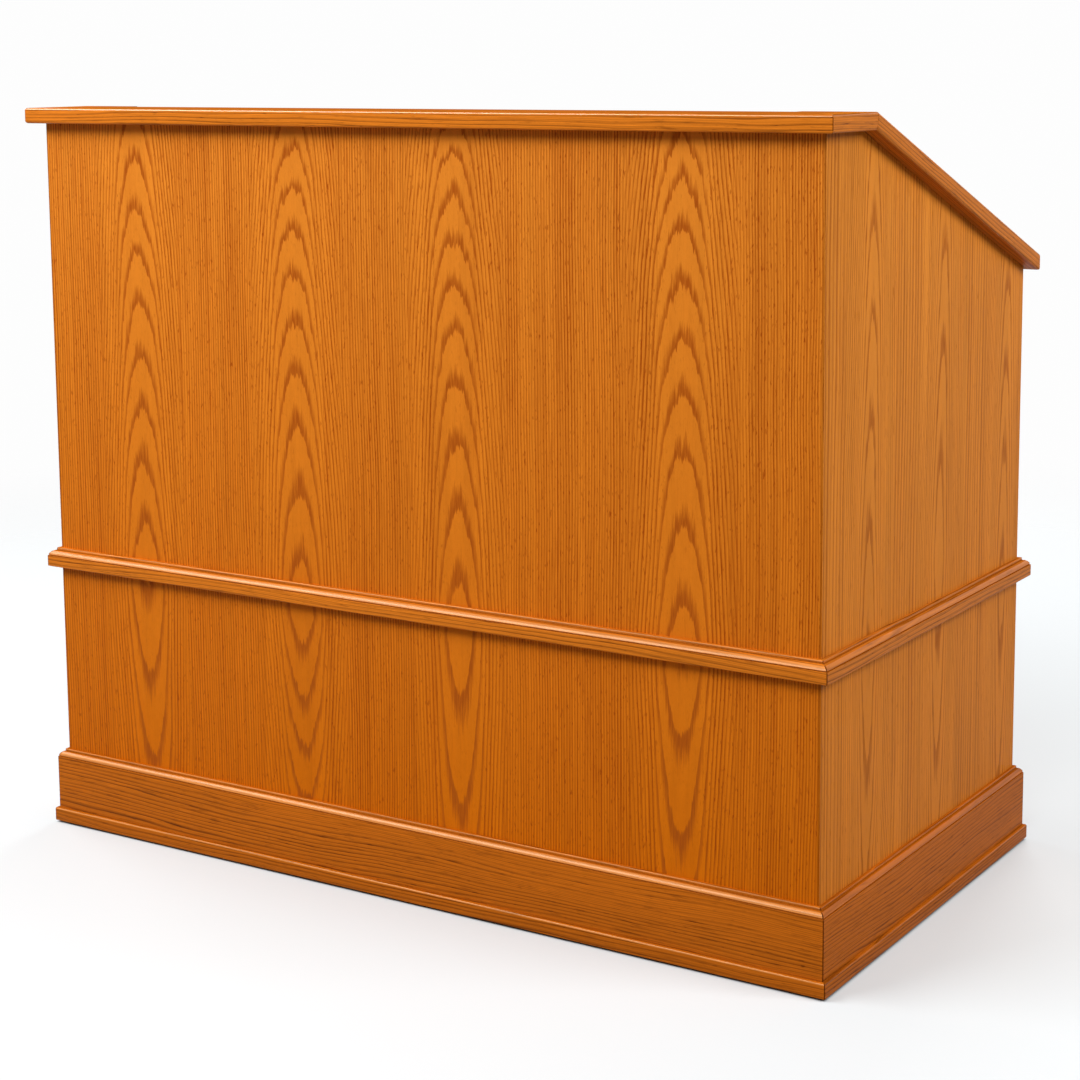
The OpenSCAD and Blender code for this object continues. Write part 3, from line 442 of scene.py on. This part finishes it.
side_box, front_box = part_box("side_panel_right"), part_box("front_panel")
HW, YF, YB = front_box[1].x, front_box[0].y, side_box[1].y  # half width of the body, its front and its rear
GAP = 0.00045  # of each mitre
GROOVE_HALF = 0.6  # of its height, in millimetres
JOINT_WIDTH = 0.004  # faces no longer than this are a dark mitre
PLAIN, POLISH, JOINT, TOP, GROOVE = range(5)  # material slots of a moulding


def arc(cp, cz, rp, rz, t0, t1, n):
    """n + 1 points of an ellipse about cp, cz, from t0 to t1 degrees."""
    return [(cp + rp * math.cos(math.radians(t0 + (t1 - t0) * i / n)),
             cz + rz * math.sin(math.radians(t0 + (t1 - t0) * i / n))) for i in range(n + 1)]


def crown(p, z, h):
    """The ogee and its bead: projection of the face below, height of its foot, its height."""
    k = p / 16.0
    foot = [(p - 0.5 * k, z + 0.1), (p - 1.6 * k, z + 0.3), (p - 1.6 * k, z + 1.0)]
    belly = []
    for q, y in arc(p * 0.42, z + 0.9, p * 0.53, h * 0.57, 6, 84, 9):
        chord = p * 0.95 - (y - z - 0.9) / (h * 0.57) * p * 0.53
        belly.append((q + (chord - q) * 0.20, y))
    cove = [(p * 0.415, z + h * 0.67), (p * 0.375, z + h * 0.70), (p * 0.345, z + h * 0.75)]
    bead = arc(p * 0.36 - h * 0.11, z + h * 0.89, h * 0.11, h * 0.11, -50, 90, 6)
    return foot + belly + cove + bead + [(0.0, z + h)]


CHAIR = [(0.0, 412.0), (14.2, 412.0)] + arc(14.6, 413.4, 1.4, 1.4, -90, 0, 4)
CHAIR += arc(15.4, 428.3, 0.6, 0.6, 0, 70, 3) + crown(16.0, 428.85, 11.65)
BASE = [(0.0, 24.0), (12.4, 24.0), (13.0, 24.6)]
BASE += arc(12.4, 105.8, 0.6, 0.6, 0, 70, 3) + crown(13.0, 106.35, 11.65)
SHOE = [(0.0, 3.0)] + arc(16.8, 4.2, 1.2, 1.2, -90, 0, 3) + arc(15.4, 21.4, 2.6, 2.6, 0, 90, 6) + [(0.0, 24.0)]


def link(name, me, mats, body="cabinet", sharp=32.0):
    """A piece that rides on body, smooth up to sharp degrees."""
    me.shade_smooth()
    me.set_sharp_from_angle(angle=math.radians(sharp))
    for m in mats:
        me.materials.append(m)
    ob = bpy.data.objects.new(name, me)
    scene.collection.objects.link(ob)
    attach(ob, body)
    return ob


def run(node, line, side, mat, shiny, square=None, grooves=()):
    """A moulding along one side of the body: side is a unit normal, shiny are the heights of its polished faces,
    which on the front runs are also painted lighter as a highlight, and grooves those of its dark ones, painted
    shade in its creases, in millimetres, and square cuts one end straight."""
    nx, ny = side
    half = (HW if ny else (YB - YF) / 2)
    cx, cy = (0.0, YF if ny < 0 else YB) if ny else (HW if nx > 0 else -HW, (YF + YB) / 2)
    ends = []  # the profile at both ends, each point as far out as its mitre
    for e in (-1, 1):
        outline = []
        for p, z in line:
            p, z = p / 1000.0, z / 1000.0
            t = e * (half + p - GAP)
            if square and square[0] == e:
                t = square[1]
            x, y = (cx + (t if ny else nx * p), cy + (t if nx else ny * p))
            outline.append((x, y, z))
        ends.append(outline)
    n = len(line)
    cuts = [0.0, 0.0006, 0.2, 0.4, 0.6, 0.8, 0.9994, 1.0]  # the short first and last step mark the mitre
    steps = len(cuts) - 1
    verts = []
    for f in cuts:
        verts += [tuple(a + (b - a) * f for a, b in zip(u, v)) for u, v in zip(*ends)]
    faces = []
    for k in range(steps):
        for i in range(n):
            j = (i + 1) % n
            faces.append((k * n + i, k * n + j, (k + 1) * n + j, (k + 1) * n + i))
    faces += [tuple(range(n)), tuple(reversed(range(steps * n, steps * n + n)))]
    me = bpy.data.meshes.new(node + "_trim")
    me.from_pydata(verts, [], faces)
    bm = bmesh.new()
    bm.from_mesh(me)
    bmesh.ops.recalc_face_normals(bm, faces=bm.faces)
    bm.to_mesh(me)
    bm.free()
    top = M["oak_x_soft"] if mat == "oak_x" else M[mat + "_top"]
    ob = link(node + "_trim", me, [M[mat], M[mat + "_polish"], M["joint"], top, M["groove"]])
    across = 0 if ny else 1
    for poly in me.polygons:
        pts = [me.vertices[v].co for v in poly.vertices]
        if len(pts) == 4:
            z = sum(v.z for v in pts) / 4 * 1000
            poly.material_index = POLISH if any(a < z < b for a, b in shiny) else PLAIN
            if poly.normal.z > (0.62 if z > shiny[-1][0] else 0.90):
                poly.material_index = TOP
            if any(abs(z - g) < GROOVE_HALF for g in grooves):
                poly.material_index = GROOVE
        span = [v[across] for v in pts]
        if max(span) - min(span) < JOINT_WIDTH and abs(poly.normal.z) < 0.9:
            poly.material_index = JOINT
    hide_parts(node)


# Heights of the polished faces; on the front runs these are also painted lighter as a highlight
SHINE = {"chair_rail": [(430.2, 436.4), (438.3, 441.0)], "base": [(107.7, 113.9), (115.8, 118.5)],
         "shoe": [(21.4, 23.8)]}
# Heights of the creases, painted dark as shade
GROOVES = {"chair_rail": (429.4, 437.0), "base": (106.9, 114.5), "shoe": ()}
for line, stem in ((CHAIR, "chair_rail"), (BASE, "base"), (SHOE, "shoe")):
    run(stem + "_front", line, (0, -1), "oak_x" if stem == "chair_rail" else "foot_x", SHINE[stem],
        grooves=GROOVES[stem])
    wood = "rail_y" if stem == "chair_rail" else "oak_y"
    run(stem + "_left", line, (-1, 0), wood, SHINE[stem], grooves=GROOVES[stem])
    run(stem + "_right", line, (1, 0), wood, SHINE[stem], grooves=GROOVES[stem])
run("base_rear", BASE, (0, 1), "foot_x", SHINE["base"], grooves=GROOVES["base"])
run("shoe_rear", SHOE, (0, 1), "foot_x", SHINE["shoe"])
return_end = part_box("chair_return_right")[0].x
run("chair_return_right", CHAIR, (0, 1), "oak_x", SHINE["chair_rail"], (-1, return_end))
run("chair_return_left", CHAIR, (0, 1), "oak_x", SHINE["chair_rail"], (1, -return_end))


def soften(node, mats, width, body="cabinet", pick=None):
    """The CAD board with its corners eased by width, in place of the CAD node. pick gives a face's material from
    the face and whether it is on an eased edge."""
    same, merge = 2e-6, 2e-5
    flat, corner = math.radians(0.4), math.radians(40)
    me = nodes[node].data.copy()
    me.materials.clear()
    bm = bmesh.new()
    bm.from_mesh(me)
    for f in bm.faces:
        f.material_index = 0
    bmesh.ops.remove_doubles(bm, verts=bm.verts, dist=same)
    bmesh.ops.dissolve_limit(bm, angle_limit=flat, verts=bm.verts, edges=bm.edges)
    sharp = [e for e in bm.edges if len(e.link_faces) == 2 and e.calc_face_angle() > corner]
    bmesh.ops.bevel(bm, geom=sharp, offset=width, segments=2, affect="EDGES", clamp_overlap=True, profile=0.5,
                    offset_type="OFFSET", material=1)
    bmesh.ops.remove_doubles(bm, verts=bm.verts, dist=merge)
    bmesh.ops.dissolve_degenerate(bm, edges=bm.edges, dist=merge)
    bm.normal_update()
    for f in bm.faces:
        f.material_index = pick(f, f.material_index == 1) if pick else 0
    bm.to_mesh(me)
    bm.free()
    ob = link(node + "_eased", me, [M[m] for m in mats], body, 18.0)
    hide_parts(node)


def edge_pick(face, eased):
    """Polished upper edge, dark mitres, plain top, which on the front nosing is painted darker as shade."""
    n = face.normal
    if eased and abs(n.z) < 0.05 and abs(n.x * n.y) > 0.01:
        return JOINT
    if 0.3 < n.z < 0.65:
        return POLISH
    return TOP if n.z > 0.6 else PLAIN


def lipping_pick(face, eased):
    """Oak on the rear edge, which shows from the presenter's side."""
    return 1 if face.normal.y > 0.6 and face.calc_center_median().y > YB - 0.002 else 0


EDGE, FINE_EDGE, WIDE_EDGE = 0.0008, 0.0005, 0.0009
soften("nosing_front", ["oak_x", "oak_edge_polish", "joint", "oak_x_top"], EDGE, pick=edge_pick)
for wood, trims in (("rail_x", ["rear_rail"]), ("rail_y", ["nosing_left", "nosing_right"]),
                    ("cap", ["cap_left", "cap_right"])):
    for node in trims:
        soften(node, [wood, wood + "_polish", "joint", wood + "_top"], EDGE, pick=edge_pick)
for node in ("side_panel_left", "side_panel_right"):
    soften(node, ["side", "oak_z"], FINE_EDGE, pick=lipping_pick)
for node in ("drawer_deck", "bottom_panel"):
    soften(node, ["birch_x", "oak_x"], EDGE, pick=lipping_pick)
for node, mat, body, slot in (("door_left", "doors", "door_left", "oak_veneer"),
                              ("door_right", "doors", "door_right", "oak_veneer"),
                              ("drawer_front", "oak_x", "drawer", "oak_veneer"),
                              ("fascia_panel", "doors", "cabinet", "oak_veneer"),
                              ("stile_left", "oak_z", "cabinet", "oak"),
                              ("stile_right", "oak_z", "cabinet", "oak"),
                              ("stile_center", "oak_z", "cabinet", "oak"),
                              ("apron_rail", "oak_x", "cabinet", "oak"),
                              ("adjustable_shelf", "birch_x", "cabinet", "birch"),
                              ("keyboard_tray", "laminate", "drawer", "laminate")):
    soften(node, [mat], WIDE_EDGE, body)
soften("grommets", ["black_plastic"], EDGE)
soften("vent_grille", ["black_metal"], FINE_EDGE, "door_right")

# Small hardware that the solids leave out: the heads of screws, and the sockets of the connection plate

# The turn that brings a piece's z axis to the direction it faces
FACING = {"y": Matrix.Rotation(math.radians(-90), 4, "X"), "x": Matrix.Rotation(math.radians(90), 4, "Y"),
          "-x": Matrix.Rotation(math.radians(-90), 4, "Y")}


def loft(bm, rings, mats):
    """Faces between rings of points, one material slot to each step, and a lid on the first and last ring."""
    rings = [[bm.verts.new(p) for p in r] for r in rings]
    n = len(rings[0])
    for a, b, mat in zip(rings, rings[1:], mats):
        for i in range(n):
            bm.faces.new((a[i], a[(i + 1) % n], b[(i + 1) % n], b[i])).material_index = mat
    bm.faces.new(rings[0]).material_index = mats[0]
    bm.faces.new(rings[-1]).material_index = mats[-1]


def turned(bm, at, facing, profile, mats, n=24):
    """A turned piece standing on at: radius, height and how far the ring is a cross."""
    place = Matrix.Translation(at) @ FACING[facing]
    rings = []
    for r, h, cross in profile:
        points = []
        for i in range(n):
            t = 2 * math.pi * i / n
            k = r * (1.0 - cross * (1.0 - abs(math.cos(2 * t)) ** 6))
            points.append(place @ Vector((k * math.cos(t), k * math.sin(t), h)))
        rings.append(points)
    loft(bm, rings, mats)


def screw(bm, at, facing, size):
    """A domed head with a crossed recess, whose faces are painted near black as shade. size: its radius and how
    far it is proud of at.
    """
    r, h = size
    turned(bm, at, facing, [(r, -0.00005, 0), (r, h * 0.35, 0), (r * 0.86, h * 0.80, 0), (r * 0.62, h, 0),
                            (r * 0.54, h, 0.66), (r * 0.48, h * 0.12, 0.66), (r * 0.1, h * 0.1, 0)],
           [0, 0, 0, 0, 1, 1])


def oblong(x, y, z, w, h, r, lower=1.0):
    """A rounded rectangle at y, its lower side narrower by the factor lower."""
    points, k = [], 5
    for sx, sz, t0 in ((1, 1, 0), (-1, 1, 90), (-1, -1, 180), (1, -1, 270)):
        for i in range(k + 1):
            t = math.radians(t0 + 90 * i / k)
            px, pz = sx * (w / 2 - r) + r * math.cos(t), sz * (h / 2 - r) + r * math.sin(t)
            points.append((x + px * (1 + (lower - 1) * (0.5 - pz / h)), y, z + pz))
    return points


def hardware(name, bm, mats, body):
    """The small pieces in bm as one piece that rides on body."""
    me = bpy.data.meshes.new(name)
    bmesh.ops.remove_doubles(bm, verts=bm.verts, dist=1e-6)
    bmesh.ops.recalc_face_normals(bm, faces=bm.faces)
    bm.to_mesh(me)
    bm.free()
    ob = link(name, me, [M[m] for m in mats], body)


plate_lo, plate_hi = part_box("connection_plate")
vent_lo, vent_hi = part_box("vent_grille")
rail_lo, rail_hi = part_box("rack_rails")
plate_y, plate_z = plate_hi.y, (plate_lo.z + plate_hi.z) / 2
bore_y, seat_y = plate_y - 0.0015, plate_y - 0.0012  # ground of the screw bores and of the sockets' recesses
RAIL_T = 0.002  # thickness of a rack rail
RACK_Y, RACK_Z = 0.2450, (0.160, 0.340, 0.520, 0.700)  # of the screws in each rack rail
HINGE_Z = (0.204, 0.588)  # foot of each hinge
LEAF_SCREWS = ((0.014, 0.3225), (0.038, 0.3285), (0.062, 0.3225))  # height above the foot, and y
FRAME_LEAF, DOOR_LEAF = 0.578, 0.577  # faces of the leaves

# Radius and height of the heads
PLATE_SCREW, RACK_SCREW, VENT_SCREW = (0.0031, 0.0013), (0.0035, 0.0012), (0.0032, 0.0009)
LEAF_SCREW, SOCKET_SCREW = (0.0027, 0.0002), (0.0019, 0.0006)

bm = bmesh.new()
for x in (plate_lo.x + 0.008, plate_hi.x - 0.008):
    for z in (plate_lo.z + 0.008, plate_hi.z - 0.008):
        screw(bm, (x, bore_y, z), "y", PLATE_SCREW)
for x, facing in ((rail_lo.x + RAIL_T, "x"), (rail_hi.x - RAIL_T, "-x")):
    for z in RACK_Z:
        screw(bm, (x, RACK_Y, z), facing, RACK_SCREW)
hardware("screws_black", bm, ["black_metal", "hole"], "cabinet")

bm = bmesh.new()
for x in (vent_lo.x + 0.007, vent_hi.x - 0.007):
    for z in (vent_lo.z + 0.007, vent_hi.z - 0.007):
        screw(bm, (x, vent_hi.y, z), "y", VENT_SCREW)
hardware("screws_vent", bm, ["black_metal", "hole"], "door_right")

for body, leaves, sides, leaf_x, facings in (
        ("cabinet", "hinge_frame_leaves", (-1, 1), FRAME_LEAF, ("x", "-x")),
        ("door_left", "hinge_leaves_left", (-1,), DOOR_LEAF, ("-x", "x")),
        ("door_right", "hinge_leaves_right", (1,), DOOR_LEAF, ("-x", "x"))):
    bm = bmesh.new()
    for side in sides:
        for foot in HINGE_Z:
            for dz, y in LEAF_SCREWS:
                screw(bm, (side * leaf_x, y, foot + dz), facings[side > 0], LEAF_SCREW)
    hardware("screws_" + leaves, bm, ["steel", "hole"], body)

# The sockets of the connection plate, by x: microphone, two jacks, two network sockets, video over two data
# sockets, monitor

# DARK is the near-black painted shade in openings, bores and recesses
BLACK, DARK, SHELL, GOLD = range(4)  # material slots
bm = bmesh.new()
face_y, deep_y, foot_y = plate_y + 0.0003, seat_y + 0.0001, seat_y - 0.0001
step = (plate_hi.x - plate_lo.x) * 0.17


def circle(d):
    """Width, height and corner radius of a round outline."""
    return d, d, d / 2


def socket(x, z, outer, inner, lower=1.0, mats=(BLACK, BLACK, DARK), face=0.0):
    """A housing and its opening, each as width, height and corner radius, face lower than the others."""
    y = face_y - face
    rim = outer[0] - 0.0004, outer[1] - 0.0004, max(outer[2] - 0.0002, 0.0001)
    loft(bm, [oblong(x, foot_y, z, *outer), oblong(x, y - 0.0002, z, *outer), oblong(x, y, z, *rim),
              oblong(x, y, z, *inner, lower), oblong(x, deep_y, z, *inner, lower)], [BLACK, *mats])


def bar(x, z, y0, y1, foot, end, r, mat=BLACK):
    """A contact or a tongue from y0 to y1, with its width and height at both."""
    loft(bm, [oblong(x, y0, z, *foot, r), oblong(x, y1, z, *end, r)], [mat])


x, insert_y = -2 * step, face_y - 0.0003
socket(x, plate_z, (0.026, 0.031, 0.003), circle(0.021), mats=(BLACK, BLACK, BLACK))
loft(bm, [oblong(x, foot_y, plate_z, *circle(0.0185)), oblong(x, insert_y, plate_z, *circle(0.0185)),
          oblong(x, insert_y, plate_z, *circle(0.0170))], [BLACK, BLACK])
contact = [(0.0014, -0.0001, 0), (0.0014, 0.00005, 0), (0.0010, 0.00006, 0)]
for dx, dz in ((-0.005, 0.001), (0.005, 0.001), (0.0, -0.005)):
    turned(bm, (x + dx, insert_y, plate_z + dz), "y", contact, [GOLD, DARK], 12)
for dx, dz in ((-0.0103, 0.0128), (0.0103, -0.0128)):
    screw(bm, (x + dx, face_y - 0.0001, plate_z + dz), "y", SOCKET_SCREW)

for z in (plate_z - 0.009, plate_z + 0.009):
    socket(-step, z, circle(0.0130), circle(0.0100), mats=(BLACK, BLACK, BLACK), face=0.0007)
    socket(-step, z, circle(0.0090), circle(0.0038), mats=(SHELL, SHELL, DARK))

for z in (plate_z - 0.0088, plate_z + 0.0088):
    socket(0.0, z, (0.0160, 0.0150, 0.0008), (0.0118, 0.0076, 0.0004))
    socket(0.0, z - 0.0052, (0.0068, 0.0030, 0.0003), (0.0042, 0.0018, 0.0002), face=0.00005)
    for i in range(8):
        bar((i - 3.5) * 0.00127, z + 0.0019, deep_y - 0.0001, deep_y + 0.0004, (0.0006, 0.0034), (0.0005, 0.0032),
            0.0001, GOLD)

socket(step, plate_z + 0.0110, (0.0175, 0.0080, 0.0010), (0.0142, 0.0046, 0.0006), lower=0.80,
       mats=(BLACK, SHELL, DARK))
bar(step, plate_z + 0.0112, foot_y, face_y - 0.0004, (0.0110, 0.0013), (0.0108, 0.0011), 0.0002)
for z in (plate_z, plate_z - 0.0105):
    socket(step, z, (0.0160, 0.0085, 0.0010), (0.0125, 0.0050, 0.0004), mats=(BLACK, SHELL, DARK))
    bar(step, z + 0.0008, foot_y, face_y - 0.0003, (0.0108, 0.0018), (0.0106, 0.0016), 0.0002)

x = 2 * step
socket(x, plate_z, (0.0320, 0.0130, 0.0020), (0.0175, 0.0086, 0.0024), lower=0.90, mats=(SHELL, SHELL, DARK),
       face=0.0004)
pin = [(0.0005, -0.0002, 0), (0.0005, 0.0003, 0), (0.0003, 0.0004, 0)]
for i in range(15):
    row, col = divmod(i, 5)
    at = (x + (col - 2) * 0.0026 - (0.0006 if row == 1 else 0.0), deep_y + 0.0002, plate_z + (1 - row) * 0.0022)
    turned(bm, at, "y", pin, [GOLD, GOLD], 8)
nut = [(0.0026, 0, 0), (0.0026, 0.0004, 0), (0.0022, 0.0006, 0), (0.0012, 0.0006, 0), (0.0012, 0.0001, 0)]
for dx in (-0.0125, 0.0125):
    turned(bm, (x + dx, face_y - 0.0005, plate_z), "y", nut, [SHELL, SHELL, SHELL, DARK], 6)
hardware("plate_sockets", bm, ["black_plastic", "hole", "nickel", "gold"], "cabinet")

# Camera, fitted to corners measured in the photograph

EYE, LENS, SENSOR, SHIFT_Y = (1.8458, -2.8706, 1.1917), 76.09, 36.0, -0.15
yaw, pitch, roll = math.radians(32.5125), math.radians(8.0647), math.radians(-0.4443)
fwd = Vector((-math.sin(yaw) * math.cos(pitch), math.cos(yaw) * math.cos(pitch), -math.sin(pitch)))
level = Vector((math.cos(yaw), math.sin(yaw), 0.0))
above = level.cross(fwd)
right = math.cos(roll) * level + math.sin(roll) * above
up = -math.sin(roll) * level + math.cos(roll) * above
cam = bpy.data.cameras.new("camera")
cam_ob = bpy.data.objects.new("camera", cam)
scene.collection.objects.link(cam_ob)
cam_ob.matrix_world = Matrix.Translation(EYE) @ Matrix((right, up, -fwd)).transposed().to_4x4()
cam.lens = LENS
cam.sensor_width = SENSOR
cam.shift_y = SHIFT_Y
cam.clip_start = 0.05
cam.clip_end = 200.0
scene.camera = cam_ob

# Floor, backdrop and lamps

WHITE = (0.985, 0.985, 0.985, 1.0)  # of the backdrop


def show_white(tree, shader, white):
    """The camera and mirrors see white here, and other rays see the shader."""
    lp = tree.nodes.new("ShaderNodeLightPath")
    seen = Val(tree, lp.outputs["Is Camera Ray"]).max(Val(tree, lp.outputs["Is Glossy Ray"]))
    seen = seen.max(Val(tree, lp.outputs["Is Transmission Ray"]))
    mix = tree.nodes.new("ShaderNodeMixShader")
    put(tree, mix.inputs[0], seen)
    tree.links.new(shader, mix.inputs[1])
    tree.links.new(white, mix.inputs[2])
    return mix.outputs[0]


world = bpy.data.worlds.new("studio")
scene.world = world
world.use_nodes = True
wt = world.node_tree
wt.nodes.clear()
w_out = wt.nodes.new("ShaderNodeOutputWorld")
dim = wt.nodes.new("ShaderNodeBackground")
dim.inputs["Color"].default_value = (1.0, 1.0, 1.0, 1.0)
dim.inputs["Strength"].default_value = 0.13
bright = wt.nodes.new("ShaderNodeBackground")
bright.inputs["Color"].default_value = WHITE
bright.inputs["Strength"].default_value = 1.0
wt.links.new(show_white(wt, dim.outputs[0], bright.outputs[0]), w_out.inputs["Surface"])


def floor_plane():
    """A pale floor, painted dark under the part as its shadow, with less of the camera's white glow around it so
    that its shade there is deeper, and fading into the backdrop.
    """
    edge, fade_from, fade_to = 14.0, 1.3, 3.6
    me = bpy.data.meshes.new("floor")
    shoe = [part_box("shoe_left")[0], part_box("shoe_right")[1]]
    mid, half = (shoe[0] + shoe[1]) / 2, (shoe[1] - shoe[0]) / 2
    me.from_pydata([(-edge, -edge, 0), (edge, -edge, 0), (edge, edge, 0), (-edge, edge, 0)], [], [(0, 1, 2, 3)])
    ob = bpy.data.objects.new("floor", me)
    scene.collection.objects.link(ob)
    m, tree, bsdf, (x, y, _) = new_material("studio_floor")
    lp = tree.nodes.new("ShaderNodeLightPath")
    bounce = Val(tree, lp.outputs["Is Diffuse Ray"])
    tint = noise(x * 3.0, y * 3.0, 0.0, 2.0) * 0.004
    pale = blend(tint + 0.5, (0.740, 0.785, 0.805), (0.750, 0.795, 0.815))
    clear_of = ((x - mid.x).abs() - half.x).max((y - mid.y).abs() - half.y)  # distance from the shoe
    # Painted shadow: the floor colour darkened under the shoe's edge and up to a millimetre beyond it
    pale = scaled(pale, ramp(clear_of, -0.006, 0.001, 0.25, 1.0))
    finish_surface(tree, bsdf, blend(bounce, pale, (0.30, 0.30, 0.30)), 0.7, spec=0.0)
    glow = tree.nodes.new("ShaderNodeEmission")
    glow.inputs["Color"].default_value = WHITE
    lit = tree.nodes.new("ShaderNodeMixShader")
    # Painted shade: the white glow the camera sees is weaker near the part, so the part's shadow there reads
    # deeper
    share = ramp(clear_of, -0.003, 0.004) * 0.25 + ramp(clear_of, 0.0, 0.20) * 0.15
    put(tree, lit.inputs[0], Val(tree, lp.outputs["Is Camera Ray"]) * share)
    tree.links.new(bsdf.outputs[0], lit.inputs[1])
    tree.links.new(glow.outputs[0], lit.inputs[2])
    clear = tree.nodes.new("ShaderNodeBsdfTransparent")
    mix = tree.nodes.new("ShaderNodeMixShader")
    put(tree, mix.inputs[0], ramp((x * x + y * y).sqrt(), fade_from, fade_to))
    tree.links.new(lit.outputs[0], mix.inputs[1])
    tree.links.new(clear.outputs[0], mix.inputs[2])
    out = next(n for n in tree.nodes if n.type == "OUTPUT_MATERIAL")
    tree.links.new(mix.outputs[0], out.inputs["Surface"])
    me.materials.append(m)


floor_plane()


def lamp(name, loc, aim, size, power, size_y=None):
    """A white area lamp at loc, turned to aim."""
    d = bpy.data.lights.new(name, "AREA")
    d.shape = "RECTANGLE"
    d.size = size
    d.size_y = size_y or size
    d.energy = power
    o = bpy.data.objects.new(name, d)
    scene.collection.objects.link(o)
    o.location = loc
    o.rotation_euler = (Vector(aim) - Vector(loc)).to_track_quat("-Z", "Y").to_euler()


lamp("key", (-2.0, -2.2, 2.9), (0.0, -0.3, 0.7), 3.2, 135.0, 1.3)
lamp("front", (1.5, -3.1, 2.9), (0.2, -0.3, 0.9), 1.4, 46.0)
lamp("side", (3.1, 0.3, 2.5), (0.6, 0.0, 0.75), 1.5, 76.0)
lamp("back", (-0.6, 3.2, 2.5), (0.0, 0.3, 0.6), 1.6, 70.0)
lamp("left", (-3.2, 0.4, 2.3), (-0.6, 0.0, 0.7), 1.5, 34.0)

scene.view_settings.view_transform = "Standard"
